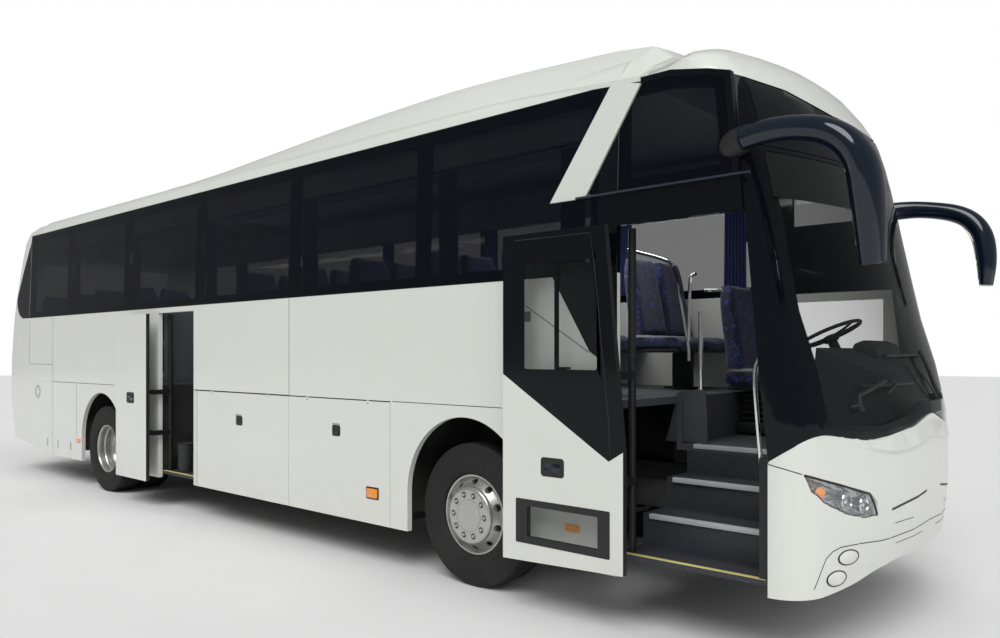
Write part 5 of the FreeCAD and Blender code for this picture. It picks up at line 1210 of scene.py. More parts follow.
@dataclass
class RoadWheel:
    """The road wheels: tyres with tread, front discs under a cover and rear dished discs.

    A profile holds a radius and a place along the axle, counted outwards, for each corner.
    """

    rim: float = 0.286
    front_y: float = 1.05
    outer_y: float = 1.0775
    inner_y: float = 0.7425
    studs: int = 10
    tyre_profile: Outline = (
        (0.286, 0.118), (0.293, 0.132), (0.304, 0.1395), (0.318, 0.1435), (0.336, 0.1458), (0.339, 0.1472),
        (0.347, 0.1472), (0.35, 0.146), (0.384, 0.1474), (0.387, 0.1458), (0.418, 0.145), (0.421, 0.1428),
        (0.447, 0.1408), (0.45, 0.142), (0.462, 0.141), (0.465, 0.1385), (0.488, 0.1355), (0.5, 0.13),
        (0.506, 0.122), (0.5085, 0.108), (0.5095, 0.092), (0.4975, 0.09), (0.4975, 0.082), (0.5095, 0.08),
        (0.51, 0.04), (0.4965, 0.038), (0.4965, 0.028), (0.51, 0.026))
    front_lip: Outline = (
        (0.2845, -0.12), (0.2845, 0.114), (0.2825, 0.1215), (0.277, 0.1225), (0.2705, 0.12), (0.268, 0.112),
        (0.262, 0.098), (0.258, 0.089), (0.255, 0.085))
    shoulder: Outline = ((0.207, 0.148), (0.205, 0.157), (0.201, 0.166), (0.194, 0.1725), (0.186, 0.1755),
                         (0.176, 0.1765))
    cover: Outline = ((0.12, 0.1765), (0.1155, 0.1765), (0.1145, 0.1735), (0.1125, 0.1735), (0.1115, 0.1765),
                      (0.05, 0.178), (0.0005, 0.178))
    front_back: Outline = ((0.2845, -0.12), (0.245, -0.1), (0.245, 0.05), (0.12, 0.066), (0.0005, 0.066))
    dish: Outline = (
        (0.2845, -0.3), (0.2845, 0.118), (0.2825, 0.1255), (0.277, 0.1265), (0.2705, 0.124), (0.266, 0.115),
        (0.262, 0.107), (0.262, 0.082), (0.2665, 0.075), (0.2665, 0.05), (0.257, 0.038), (0.257, 0.01),
        (0.263, 0.0), (0.263, -0.022), (0.252, -0.045), (0.244, -0.066), (0.236, -0.072))
    hub: Outline = ((0.17, -0.079), (0.118, -0.079), (0.114, -0.074), (0.112, -0.02), (0.106, 0.0),
                    (0.094, 0.012), (0.06, 0.018), (0.0005, 0.019))
    rear_back: Outline = ((0.2845, -0.3), (0.2845, -0.464), (0.264, -0.464), (0.264, -0.217),
                          (0.0005, -0.217))

    def build(self) -> None:
        """All six tyres and their wheels."""
        for side in Side:
            front, outer, inner = ((x, side.value * y, WHEEL_HEIGHT) for x, y in (
                (FRONT_AXLE, self.front_y), (REAR_AXLE, self.outer_y), (REAR_AXLE, self.inner_y)))
            self.tyres(f"tyre_front_{side.word}", f"wheel_front_{side.word}", [front])
            self.tyres(f"tyres_rear_{side.word}", f"wheels_rear_{side.word}", [outer, inner])
            self.front_disc(side, front)
            self.rear_disc(side, outer)

    def tyres(self, node: str, body: str, centres: Sequence[Point]) -> None:
        """Tyres with ribbed walls, round shoulders and four grooves."""
        form = Form()
        profile = self.tyre_profile + tuple((radius, -along) for radius, along in self.tyre_profile[::-1])
        for centre in centres:
            form.lathe(profile, centre, Way.Y)
            form.lathe([(self.rim, 0.118), (self.rim - 0.0005, -0.118)], centre, Way.Y)
        form.piece(node + "_tread", TYRE, body, 24.0, [node])

    def turned(self, form: Form, centre: Point, side: Side, profile: Outline, segments: int = 96) -> None:
        """Turn a profile about the axle."""
        form.lathe([(radius, side.value * along) for radius, along in profile], centre, Way.Y, segments)

    def on_wheel(self, centre: Point, side: Side, radius: float, angle: float, along: float) -> Vector:
        """A point of the wheel in polar form, along counted outwards."""
        across = (radius * math.cos(angle), radius * math.sin(angle))
        return spot(Way.Y, side.value * along, across, centre)

    def holed_ring(self, form: Form, centre: Point, side: Side, inner: Pair, outer: Pair, hole: Pair,
                   deep: float, phase: float = 0.5) -> None:
        """A ring of sheet with an oval hole between every two studs, or at each stud.

        Args:
            form: the form that takes it.
            centre: the wheel's centre.
            side: the side of the coach.
            inner: radius and place along the axle of its inner edge.
            outer: the same of its outer edge.
            hole: half the hole's size along the radius and across it.
            deep: how far the hole's edge is turned in.
            phase: 0.5 puts the holes between the studs, 0.0 at them.
        """
        sector = 2 * math.pi / self.studs
        middle, width = (inner[0] + outer[0]) / 2, outer[0] - inner[0]
        corners = [(inner[0], sector * (step / 8 - 0.5)) for step in range(8)]
        corners += [(inner[0] + width * step / 4, sector / 2) for step in range(4)]
        corners += [(outer[0], sector * (0.5 - step / 8)) for step in range(8)]
        corners += [(outer[0] - width * step / 4, -sector / 2) for step in range(4)]
        edge = []
        for radius, angle in corners:
            turn = math.atan2((radius - middle) / hole[0], angle * middle / hole[1])
            edge.append((middle + hole[0] * math.sin(turn), hole[1] * math.cos(turn) / middle))
        near = [((a[0] + b[0] * 3) / 4, (a[1] + b[1] * 3) / 4) for a, b in zip(corners, edge)]
        rings = [(corners, 0.0), (near, 0.0), (edge, 0.0)]
        for share, part in ((0.93, 0.25), (0.9, 1.0)):
            turned_in = [(middle + (radius - middle) * share, angle * share) for radius, angle in edge]
            rings.append((turned_in, deep * part))
        slope = (outer[1] - inner[1]) / width
        for base in (sector * (number + phase) for number in range(self.studs)):
            form.band([[self.on_wheel(centre, side, radius, base + angle,
                                      inner[1] - sunk + slope * (radius - inner[0]))
                        for radius, angle in ring] for ring, sunk in rings])

    def nuts(self, name: str, body: str, side: Side, centre: Point, circle: float, along: float, tall: float,
             size: float = 0.0145) -> None:
        """A ring of six-sided nuts with round tops.

        Args:
            name: the piece's name.
            body: the body that they ride on.
            side: the side of the coach.
            centre: the wheel's centre.
            circle: the radius of their circle.
            along: where they start along the axle.
            tall: how tall they are.
            size: half their width.
        """
        form = Form()
        for number in range(self.studs):
            middle = self.on_wheel(centre, side, circle, 2 * math.pi * number / self.studs, along)
            for share, low, high, sides in ((1.0, 0.0, 0.62, 6), (0.72, 0.6, 1.0, 16)):
                form.loops([[spot(Way.Y, side.value * tall * level, corner, middle)
                             for corner in oval(size * part, size * part, sides)]
                            for part, level in ((share, low), (share, high - 0.08), (share * 0.9, high))])
        form.piece(name, SILVER, body)

    def front_disc(self, side: Side, centre: Point) -> None:
        """The front wheel: bright lip, ring with hand holes, raised disc with its nuts and a blank centre."""
        form = Form()
        self.turned(form, centre, side, self.front_lip)
        self.holed_ring(form, centre, side, self.shoulder[0], self.front_lip[-1], (0.018, 0.027), 0.03)
        self.turned(form, centre, side, self.shoulder)
        self.holed_ring(form, centre, side, self.cover[0], self.shoulder[-1], (0.022, 0.022), 0.022, 0.0)
        self.turned(form, centre, side, self.cover)
        self.turned(form, centre, side, self.front_back, 48)
        form.weld(0.0002)
        body = f"wheel_front_{side.word}"
        form.piece(f"disc_front_{side.word}", SILVER, body, 35.0, [f"rim_front_{side.word}"])
        self.nuts(f"nuts_front_{side.word}", body, side, centre, 0.148, 0.156, 0.027)

    def rear_disc(self, side: Side, centre: Point) -> None:
        """The twin wheels: a deep dish with hand holes and nuts round the axle's cap."""
        form = Form()
        self.turned(form, centre, side, self.dish)
        self.holed_ring(form, centre, side, self.hub[0], self.dish[-1], (0.022, 0.028), 0.02)
        self.turned(form, centre, side, self.hub)
        self.turned(form, centre, side, self.rear_back, 48)
        form.weld(0.0002)
        body = f"wheels_rear_{side.word}"
        form.piece(f"disc_rear_{side.word}", SILVER, body, 35.0, [f"rims_rear_{side.word}"])
        self.nuts(f"nuts_rear_{side.word}", body, side, centre, 0.141, -0.079, 0.03)


# Doors and entrance.


@dataclass
class FrontDoor:
    """Both open door leaves: livery, panes, frames, handles and edges."""

    face: float = -1.43
    inset: float = 0.0015
    leaf: str = "door_front_leaf"
    middle: str = "door_middle_leaf"
    # Where a grey line is painted along the rounded edge of the leaf's glass panel, as a highlight.
    pane_edge: Outline = ((3.903, 2.372), (4.49, 2.366), (4.516, 2.221), (4.54, 2.035), (4.568, 1.728),
                          (4.595, 1.515), (4.622, 1.274), (4.632, 1.066))
    field_foot: Outline = ((3.893, 1.086), (4.596, 1.086), (4.566, 1.505), (3.893, 1.505))
    cup: Outline = ((0.026, 0.0011), (0.026, 0.0004), (0.02, 0.0003), (0.018, 0.001), (0.0005, 0.001))

    def build(self) -> None:
        """Dress the leaves and their arms, and add what is on them."""
        skin(self.leaf, LEAF_PAINT, self.leaf, self.set_in, RUBBER)
        skin(self.middle, PLAIN_LEAF_PAINT, self.middle, self.set_in, RUBBER)
        dress(DOOR_GLASS, "door_front_glass")
        dress(ARM_METAL, "door_front_arm", "door_middle_arm")
        self.upper_pane()
        low_frame = Form()
        self.frame_round(low_frame, rounded((4.006, 0.503), (4.544, 0.695), 0.01),
                         rounded((3.914, 0.458), (4.63, 0.737), 0.008), 0.0062, 0.0002)
        low_frame.piece("door_low_window_frame", MATT_BLACK, self.leaf)
        self.handle("front", 4.208, 0.954)
        self.handle("middle", -1.615, 1.172)

    def set_in(self, place: Vector) -> Vector:
        """Bring the outermost face in a little, so that the frames may stand on it."""
        return Vector((place.x, max(place.y, self.face + self.inset), place.z))

    def frame_round(self, form: Form, inner: Sequence[Pair], outer: Sequence[Pair], deep: float,
                    near: float) -> None:
        """A flat frame between two outlines in side view, between two depths behind the leaf's face."""
        low, high = self.face + deep, self.face + near
        rings = ((inner, low), (inner, high), (outer, high), (outer, low), (inner, low))
        form.band([[spot(Way.Y, y, corner) for corner in outline] for outline, y in rings])

    def upper_pane(self) -> None:
        """The field of black glass round the clear pane, the painted part under it, the bar, the catch, and a
        grey line painted along the rounded edge of the leaf's glass panel as a highlight.
        """
        field, trim = Form(), Form()
        outer = [(x - max(0.0, z - 1.6) * 0.085 if x > 4.3 else x, z)
                 for x, z in rounded((3.893, 1.5), (4.566, 2.294), 0.008)]
        self.frame_round(field, rounded((3.982, 1.556), (4.54, 2.213), 0.016), outer, 0.0062, 0.0003)
        field.block((4.224, self.face + 0.0003, 1.556), (4.257, self.face + 0.006, 2.22))
        field.prism(self.field_foot, Way.Y, self.face + 0.0009, self.face + 0.005)
        field.piece("door_upper_field", LEAF_PAINT, self.leaf)
        # A grey line along the glass panel's rounded edge: a painted highlight.
        trim.ribbon([(Vector((x, self.face + 0.0007, z)), -LEFTWARD) for x, z in self.pane_edge], 0.004)
        trim.block((3.984, self.face, 1.853), (4.034, self.face + 0.004, 1.918), 0.002)
        # This piece holds the painted edge highlight and the real catch.
        trim.piece("door_pane_trim", DASH, self.leaf)

    def handle(self, name: str, x: float, z: float) -> None:
        """A dark plate with a raised rim, a round cup and a grip.

        Args:
            name: which door.
            x: the middle along the coach.
            z: the middle's height.
        """
        plate, grip = Form(), Form()
        rim = rounded((x - 0.078, z - 0.047), (x + 0.078, z + 0.047), 0.014)
        outer = rounded((x - 0.09, z - 0.059), (x + 0.09, z + 0.059), 0.022)
        self.frame_round(plate, rim, outer, 0.0015, 0.0)
        plate.prism(rim, Way.Y, self.face + 0.0011, self.face + 0.002)
        grip.prism(rounded((x - 0.004, z - 0.03), (x + 0.066, z + 0.026), 0.02), Way.Y, self.face + 0.0002,
                   self.face + 0.0012, 0.0004)
        grip.lathe(self.cup, (x - 0.045, self.face, z), Way.Y, 28)
        plate.piece(f"door_handle_plate_{name}", MATT_BLACK, f"door_{name}_leaf")
        grip.piece(f"door_handle_grip_{name}", NAVY, f"door_{name}_leaf")


@dataclass
class Entrance:
    """The front entrance and the stairwell behind: treads, nosings, rails and panels beside the stairs."""

    sill: float = 0.455
    door: Pair = (4.6, 5.48)
    treads: Outline = ((-0.946, 0.65), (-0.663, 0.845), (-0.383, 1.04))
    well: Pair = (-1.26, -0.54)
    well_rise: float = 0.194
    well_run: float = 0.178
    rail_y: float = -0.35
    rails: tuple[tuple[float, Outline], ...] = (
        (0.012, ((4.055, 2.403), (4.409, 2.297), (4.44, 2.22), (4.54, 1.739), (4.548, 1.602))),
        (0.012, ((4.601, 2.194), (4.56, 2.183), (4.553, 2.1), (4.544, 1.739))))
    hand_rail: Curve = ((5.408, -1.15, 1.62), (5.39, -1.17, 1.57), (5.4, -1.175, 1.4),
                        (5.428, -1.17, 1.04), (5.428, -1.14, 0.99))
    bin_profile: Outline = ((0.0005, -0.152), (0.07, -0.152), (0.074, -0.148), (0.084, 0.14), (0.088, 0.144),
                            (0.088, 0.152), (0.082, 0.152), (0.078, 0.14), (0.068, -0.14), (0.0005, -0.142))
    panel: Outline = ((4.37, 1.045), (4.69, 1.045), (4.685, 1.25), (4.675, 1.385), (4.655, 1.41),
                      (4.48, 1.395), (4.455, 1.37), (4.42, 1.2))

    def build(self) -> None:
        """Dress the stairs and add what is on them."""
        dress(STEP, "entrance_steps")
        dress(CHROME, "grab_rails")
        dress(FLOORING, "saloon_floor")
        self.nosings()
        self.fittings()
        self.screens()
        self.ledge()

    def nosings(self) -> None:
        """Light strips on the edges of the treads and a yellow strip on each sill."""
        light, yellow = Form(), Form()
        for y, z in self.treads:
            light.block((self.door[0], y - 0.004, z - 0.028), (self.door[1], y + 0.03, z + 0.002), 0.002)
        yellow.block((self.door[0], -1.229, self.sill + 0.0003), (self.door[1], -1.195, self.sill + 0.0035),
                     0.001)
        yellow.block((self.well[0] - 0.01, -1.229, 0.3905), (self.well[1] + 0.01, -1.195, 0.394), 0.001)
        for number in range(1, 5):
            y, z = -1.226 + self.well_run * number, 0.39 + self.well_rise * number
            light.block((self.well[0], y - 0.002, z - 0.025), (self.well[1], y + 0.03, z + 0.002), 0.002)
        light.piece("step_nosings", STRIP)
        yellow.piece("sill_edges", YELLOW)

    def fittings(self) -> None:
        """Bright rails inside the doorway, a post by the nose and a bin in the middle doorway."""
        rails, post, can = Form(), Form(), Form()
        for radius, line in self.rails:
            rails.tube([(x, self.rail_y, z) for x, z in line], radius, smooth=2)
        rails.tube([(4.664, self.rail_y, 2.079), (4.813, self.rail_y, 2.071)], 0.01, smooth=1)
        rails.tube(self.hand_rail, 0.013, smooth=2)
        rails.piece("entrance_rails", CHROME, sharp=50.0)
        post.block((5.44, -1.226, 0.46), (5.49, -1.17, 1.1), 0.004)
        post.piece("entrance_post", MATT_BLACK)
        can.lathe(self.bin_profile, (-1.02, -1.1, 0.543), Way.Z, 40)
        can.piece("stairwell_bin", DASH, sharp=40.0)

    def screens(self) -> None:
        """A dark leaning panel beside the front stairs, and one behind the middle stairs."""
        panel, stairs = Form(), Form()
        panel.prism(self.panel, Way.Y, -0.362, -0.345, 0.004)
        panel.piece("entrance_screen", DARK_LINING)
        stairs.block((-1.304, -1.205, 1.362), (-1.288, -0.36, 2.1), 0.006)
        stairs.piece("stairwell_screen", DARK_LINING)

    def ledge(self) -> None:
        """The slim ledge over the front door, thin at its rear end, and the upright pane joint over it."""
        form, joint = Form(), Form()
        y = 0.012 - SIDE_FACE
        rings = []
        for x, deep in ((4.27, 0.002), (4.5, 0.005), (4.6, 0.011), (5.38, 0.011), (5.41, 0.002)):
            section = ((y, 2.605), (y - deep - 0.012, 2.61), (y - deep - 0.014, 2.619),
                       (y - deep - 0.01, 2.624), (y, 2.628))
            rings.append([spot(Way.X, x, corner) for corner in section])
        form.loops(rings)
        form.piece("door_ledge", NAVY)
        joint.tube([(4.575, -1.262, 2.63), (4.575, -1.252, 2.95), (4.575, -1.243, 3.06)], 0.0035, 8, 1)
        joint.piece("pane_joint", DASH)


# Inside.


@dataclass
class Seats:
    """Padded seats: crowned cushions and backs with head rests, on dark frames."""

    first: float = 3.67
    pitch: float = 0.85
    rows: int = 11
    height: float = 1.69
    floor: float = 1.362
    half: float = 0.205
    cap: float = 0.014
    across: Pair = (0.552, 0.978)
    stairs: Pair = (-1.34, -0.46)
    driver_place: Point = (4.52, 0.6, 1.42)

    def places(self) -> list[Vector]:
        """Where each single passenger seat stands."""
        spots = [(self.first - self.pitch * row, side, y) for row in range(self.rows) for side in Side
                 for y in self.across]
        return [Vector((x, side.value * y, self.height)) for x, side, y in spots
                if side is Side.LEFT or x - 0.16 >= self.stairs[1] or x + 0.46 <= self.stairs[0]]

    def build(self) -> None:
        """Make one cushion and one back, and place a copy of them at each seat."""
        cushion = self.plump("cushion", (-0.06, -self.half, 0.008), (0.435, self.half, 0.082), (18, 15, 3),
                             self.cushion_shape)
        back = self.plump("back", (0.0, -self.half, 0.11), (0.13, self.half, 0.76), (4, 15, 22),
                          self.back_shape)
        cushions, backs, rests, frames = (Form() for _ in range(4))
        for place in self.places():
            self.copy(cushions, cushion, place)
            self.copy(backs, back, place)
            self.head_rest(rests, place)
            self.frame(frames, place)
        self.pad(cushions, "seat_cushions", SEAT_CLOTH, ["passenger_seats"])
        self.pad(backs, "seat_backs", SEAT_CLOTH)
        self.pad(rests, "seat_head_rests", HEADREST)
        frames.piece("seat_frames", DASH)
        self.driver(cushion, back)

    def pad(self, form: Form, name: str, finish: Finish, stands_for: Sequence[str] = ()) -> None:
        """Turn a form into a padded piece."""
        form.piece(name, finish, sharp=70.0, stands_for=stands_for)

    def driver(self, cushion: bpy.types.Mesh, back: bpy.types.Mesh) -> None:
        """The driver's seat, wider and on a sprung base."""
        place = Vector(self.driver_place)
        cushions, backs, base = Form(), Form(), Form()
        self.copy(cushions, cushion, place, 1.15)
        self.copy(backs, back, place, 1.15)
        self.head_rest(backs, place)
        self.pad(cushions, "driver_cushion", SEAT_CLOTH, ["driver_seat"])
        self.pad(backs, "driver_back", SEAT_CLOTH)
        base.block((4.5, 0.43, 1.05), (4.88, 0.77, 1.14), 0.02)
        for z in (1.15 + level * 0.045 for level in range(5)):
            base.block((4.54, 0.46, z), (4.84, 0.74, z + 0.028), 0.012)
        base.block((4.46, 0.39, 1.375), (4.92, 0.81, 1.415), 0.012)
        base.piece("driver_seat_base", DASH)

    def cushion_shape(self, place: Vector) -> Vector:
        """Bend a block's point to the cushion's shape, its front edge rolled down."""
        front = max(0.0, (place.x - 0.33) / 0.105)
        return place - UPWARD * (0.028 * front * front * place.z / 0.082)

    def back_shape(self, place: Vector) -> Vector:
        """Bend a block's point to the back's shape, tilted and drawn in at the shoulders."""
        share = (place.z - 0.11) / 0.65
        rear, front = -0.062 - 0.075 * share, 0.088 - 0.125 * share
        narrow = 1.0 - 0.28 * (max(0.0, share - 0.7) / 0.3) ** 2
        return Vector((rear + 0.012 + (front - rear - 0.026) * place.x / 0.13, place.y * narrow, place.z))

    def plump(self, name: str, low: Point, high: Point, steps: tuple[int, int, int],
              bend: Callable[[Vector], Vector]) -> bpy.types.Mesh:
        """A block with divided faces, bent and then blown up as cloth under pressure.

        Args:
            name: the pad's name.
            low: the block's lowest corner.
            high: its highest corner.
            steps: how many quads it has along each axis.
            bend: what moves each point of the block.

        Returns:
            The plump mesh, no point of it further out than the cap.
        """
        work = bmesh.new()
        verts: dict[tuple[int, ...], bmesh.types.BMVert] = {}
        for axis in range(3):
            first, second = [other for other in range(3) if other != axis]
            for level in (0, steps[axis]):
                for a, b in ((a, b) for a in range(steps[first]) for b in range(steps[second])):
                    ring = []
                    for place in ([a, b], [a + 1, b], [a + 1, b + 1], [a, b + 1]):
                        place.insert(axis, level)
                        key = tuple(place)
                        if key not in verts:
                            corner = [start + (end - start) * (number / count)
                                      for start, end, number, count in zip(low, high, place, steps)]
                            verts[key] = work.verts.new(bend(Vector(corner)))
                        ring.append(verts[key])
                    work.faces.new(ring)
        bmesh.ops.recalc_face_normals(work, faces=work.faces)
        mesh = new_mesh(name, work)
        pad = new_object(name, mesh)
        cloth = pad.modifiers.new("cloth", "CLOTH").settings
        cloth.quality = 6
        cloth.mass = 0.3
        cloth.use_pressure = True
        cloth.uniform_pressure_force = 4.0
        cloth.effector_weights.gravity = 0.0
        cloth.tension_stiffness = 40.0
        cloth.bending_stiffness = 4.0
        scene = bpy.context.scene
        for step in range(1, 17):
            scene.frame_set(step)
        result = bpy.data.meshes.new_from_object(pad.evaluated_get(bpy.context.evaluated_depsgraph_get()))
        for after, before in zip(result.vertices, mesh.vertices):
            move = after.co - before.co
            if move.length > self.cap:
                after.co = before.co + move.normalized() * self.cap
        scene.frame_set(1)
        bpy.data.objects.remove(pad)
        return result

    def copy(self, form: Form, mesh: bpy.types.Mesh, place: Vector, wide: float = 1.0) -> None:
        """Add a copy of a pad to a form."""
        moved = mesh.copy()
        moved.transform(Matrix.Translation(place) @ Matrix.Diagonal((1.0, wide, 1.0, 1.0)))
        form.mesh.from_mesh(moved)
        bpy.data.meshes.remove(moved)

    def head_rest(self, form: Form, place: Vector) -> None:
        """A soft roll at the top of the back."""
        rings = []
        for share in (step / 6 - 1 for step in range(13)):
            size = max(0.12, (1 - abs(share) ** 3.2) ** 0.45)
            rings.append([place + Vector((u - 0.078, 0.13 * share, v + 0.665))
                          for u, v in oval(0.034 * size, 0.09 * size, 20)])
        form.loops(rings)

    def frame(self, form: Form, place: Vector) -> None:
        """The shell under a cushion, and the leg of a seat by the aisle."""
        x, y, z = place
        form.block((x - 0.05, y - 0.19, z - 0.03), (x + 0.4, y + 0.19, z + 0.004), 0.01)
        if abs(y) < 0.7:
            leg = math.copysign(0.765, y)
            form.block((x + 0.12, leg - 0.03, self.floor), (x + 0.3, leg + 0.03, z - 0.03), 0.012)
            form.block((x + 0.06, leg - 0.06, self.floor), (x + 0.36, leg + 0.06, self.floor + 0.015), 0.004)


@dataclass
class Curtains:
    """Gathered curtains that hang beside the window posts."""

    posts: tuple[float, ...] = (4.16, 3.03, 1.33, -0.36, -2.07, -3.77)
    low: float = 2.2
    high: float = 2.975
    wide: float = 0.2
    folds: float = 6.5
    deep: float = 0.016
    cloth_y: float = 1.162
    rail_y: float = 1.182
    steps: tuple[int, int] = (66, 24)

    def build(self) -> None:
        """One curtain by each post, and the rails."""
        rails = Form()
        for side in Side:
            for number, post in enumerate(self.posts):
                self.curtain(side, number, post)
            y, z = side.value * self.rail_y, self.high + 0.012
            rails.tube([(-4.9, y, z), (4.3, y, z)], 0.006, 8)
        rails.piece("curtain_rails", ARM_METAL)

    def curtain(self, side: Side, number: int, post: float) -> None:
        """One curtain, its folds fuller towards the foot."""
        phase = random.Random(40 + number + (10 if side is Side.LEFT else 0)).uniform(0, 6.28)
        across, down = self.steps
        long = self.high - self.low
        rows = []
        for share in (row / down for row in range(down + 1)):
            row = []
            for part in (column / across for column in range(across + 1)):
                angle = 2 * math.pi * self.folds * part + phase + 0.5 * math.sin(3 * part + 2 * share)
                fold = self.deep * (0.75 + 0.25 * share) * math.sin(angle)
                x = post + (part - 0.5) * self.wide * (0.92 + 0.08 * share) + 0.006 * math.cos(2 * angle)
                row.append(Vector((x, side.value * (self.cloth_y + fold), self.high - long * share)))
            rows.append(row)
        form = Form()
        form.sheet(rows)
        area = sum(face.calc_area() for face in form.mesh.faces)
        made = form.piece(f"curtain_{side.word}_{number}", CURTAIN, sharp=80.0)


@dataclass
class Cab:
    """The driver's place: wheel, hood and vents, and the shelf behind the last seats."""

    centre: Point = (5.15, 0.6, 1.79)
    tilt: float = 25.0
    ring: float = 0.2255
    grip: Pair = (0.0125, 0.0135)
    spokes: tuple[int, ...] = (20, 160, 200, 340)
    spoke_line: Outline = ((0.04, 0.022), (0.13, 0.016), (0.222, 0.002))
    spoke_sizes: Outline = ((0.02, 0.01), (0.015, 0.008), (0.012, 0.007))
    hub: Outline = ((0.0005, -0.008), (0.04, -0.009), (0.058, -0.016), (0.06, -0.03), (0.05, -0.055),
                    (0.0005, -0.058))
    hood: Outline = ((5.36, 1.6), (5.4, 1.72), (5.47, 1.745), (5.55, 1.71), (5.56, 1.6))

    def build(self) -> None:
        """Dress the dash and build what is on and behind it."""
        dress(DASH, "dashboard")
        dress(LINING, "overhead_racks")
        shelf = Form()
        shelf.block((-5.13, -1.2, 1.362), (-5.105, 1.2, 2.12), 0.006)
        shelf.block((-5.64, -1.15, 2.095), (-5.12, 1.15, 2.12), 0.006)
        shelf.piece("rear_shelf", DARK_LINING)
        self.steering_wheel()
        self.dash_details()

    def steering_wheel(self) -> None:
        """A thick ring with four spokes and a padded hub, built flat and then leant back."""
        form = Form()
        ring = [[way * (self.ring + u) + UPWARD * v for u, v in oval(*self.grip, 12)]
                for way in (Vector((*turn, 0.0)) for turn in oval(1.0, 1.0, 60))]
        form.band(ring + ring[:1])
        for angle in map(math.radians, self.spokes):
            way = Vector((math.cos(angle), math.sin(angle), 0.0))
            line = [way * away - UPWARD * drop for away, drop in self.spoke_line]
            form.sweep(line, self.spoke_sizes, 12, UPWARD.cross(way))
        form.lathe(self.hub, (0.0, 0.0, 0.0), Way.Z, 36)
        turn = Matrix.Rotation(math.radians(-self.tilt), 4, "Y")
        form.mesh.transform(Matrix.Translation(self.centre) @ turn)
        form.weld(0.0005)
        form.piece("steering_wheel_rim", MATT_BLACK, "steering_wheel", 40.0, ["steering_wheel"])

    def dash_details(self) -> None:
        """An instrument hood, air vents and switches on the dash."""
        hood, trim = Form(), Form()
        hood.prism(self.hood, Way.Y, 0.36, 0.84, 0.012)
        for y in (-0.12, 0.1, 1.0):
            for z in (1.52 + 0.022 * level for level in range(5)):
                x = 5.368 + 0.1 * (z - 1.5)
                trim.block((x - 0.012, y - 0.07, z), (x + 0.02, y + 0.07, z + 0.011), 0.002)
        for y in (0.29 - 0.05 * index for index in range(6)):
            trim.block((5.35, y - 0.018, 1.44), (5.385, y + 0.018, 1.475), 0.003)
        hood.piece("instrument_hood", DASH)
        trim.piece("dash_vents", MATT_BLACK)


@dataclass
class Fittings:
    """Small things on the sides and tail, and the finishes of the running gear."""

    latches: tuple[tuple[str, Side, float], ...] = (
        ("flap_right_rear", Side.RIGHT, 0.35), ("flap_right_front", Side.RIGHT, 1.84),
        ("flap_left_rear", Side.LEFT, -0.63), ("flap_left_middle", Side.LEFT, 0.62),
        ("flap_left_front", Side.LEFT, 1.88))
    slits: tuple[float, ...] = (-4.434, -4.083, -3.661)
    cap: Pair = (-4.79, 1.136)
    slats: int = 9
    plate_height: float = 0.62

    def build(self) -> None:
        """Dress the running gear and add all the small fittings."""
        dress(UNDERSEAL, "wheel_housings", "luggage_bay")
        dress(CHASSIS, "chassis_frame")
        dress(CASTING, "front_axle", "rear_axle", "knuckle_left", "knuckle_right", "engine_block")
        dress(RUBBER, "air_bellows")
        for body, side, x in self.latches:
            self.latch(body, side, x)
        self.side_details()
        self.tail()

    def latch(self, body: str, side: Side, x: float) -> None:
        """A dark recessed latch on a flap."""
        plate, grip = Form(), Form()
        way, y = side.value, side.value * SIDE_FACE
        plate.prism(rounded((x - 0.055, 0.975), (x + 0.055, 1.065), 0.02), Way.Y, y - way * 0.002,
                    y + way * 0.0008)
        grip.prism(rounded((x - 0.035, 0.985), (x + 0.035, 1.02), 0.012), Way.Y, y, y + way * 0.004, 0.0012)
        plate.piece(body + "_latch_plate", MATT_BLACK, body)
        grip.piece(body + "_latch_grip", DASH, body)

    def side_details(self) -> None:
        """Upright dark slits low on the rear sides, a round cap's joint and the flap's marker lamp."""
        form, cap, marker, seat = (Form() for _ in range(4))
        for side in Side:
            for x in self.slits:
                form.prism(rounded((x - 0.009, 0.425), (x + 0.009, 0.53), 0.008), Way.Y,
                           side.value * (SIDE_FACE - 0.002), side.value * (SIDE_FACE + 0.0008))
        for radius, thick in ((0.085, 0.006), (0.066, 0.004)):
            ring = oval(radius, radius, 48)
            cap.ribbon([(Vector((self.cap[0] + u, -SIDE_FACE, self.cap[1] + v)), -LEFTWARD)
                        for u, v in ring + ring[:1]], thick, 0.0012)
        face = -SIDE_FACE
        seat.prism(rounded((2.226, 0.512), (2.38, 0.608), 0.012), Way.Y, face + 0.001, face - 0.0012)
        marker.prism(rounded((2.24, 0.524), (2.366, 0.596), 0.01), Way.Y, face, face - 0.009, 0.003)
        form.piece("side_slits", MATT_BLACK)
        cap.piece("filler_cap_joint", RUBBER)
        seat.piece("flap_marker_seat", MATT_BLACK, "flap_right_front")
        marker.piece("flap_marker_lamp", AMBER_LENS, "flap_right_front")

    def tail(self) -> None:
        """A slatted grille on the engine lid and a blank plate in a dark seat under it."""
        grille = Form()
        for level in range(self.slats):
            track = self.across(0.6, 0.9 + 0.035 * level)
            grille.ribbon([(point - normal * 0.0012, normal) for point, normal in track], 0.018, 0.0008)
        grille.piece("lid_grille", MATT_BLACK, "engine_lid")
        for name, finish, half, tall, lift in (("plate_seat", MATT_BLACK, 0.28, 0.066, 0.0006),
                                               ("blank_plate", MILKY, 0.26, 0.052, 0.0014)):
            form = Form()
            form.sheet([raised(self.across(half, self.plate_height + tall * share), lift)
                        for share in (-1.0, -0.5, 0.0, 0.5, 1.0)])
            form.piece(name, finish)

    def across(self, half: float, z: float) -> Track:
        """The tail's surface from one side to the other at a height."""
        tail = Surface("engine_lid", "rear_wall")
        return [tail.at((-8.0, half * (step / 12 - 1), z), FORWARD) for step in range(25)]


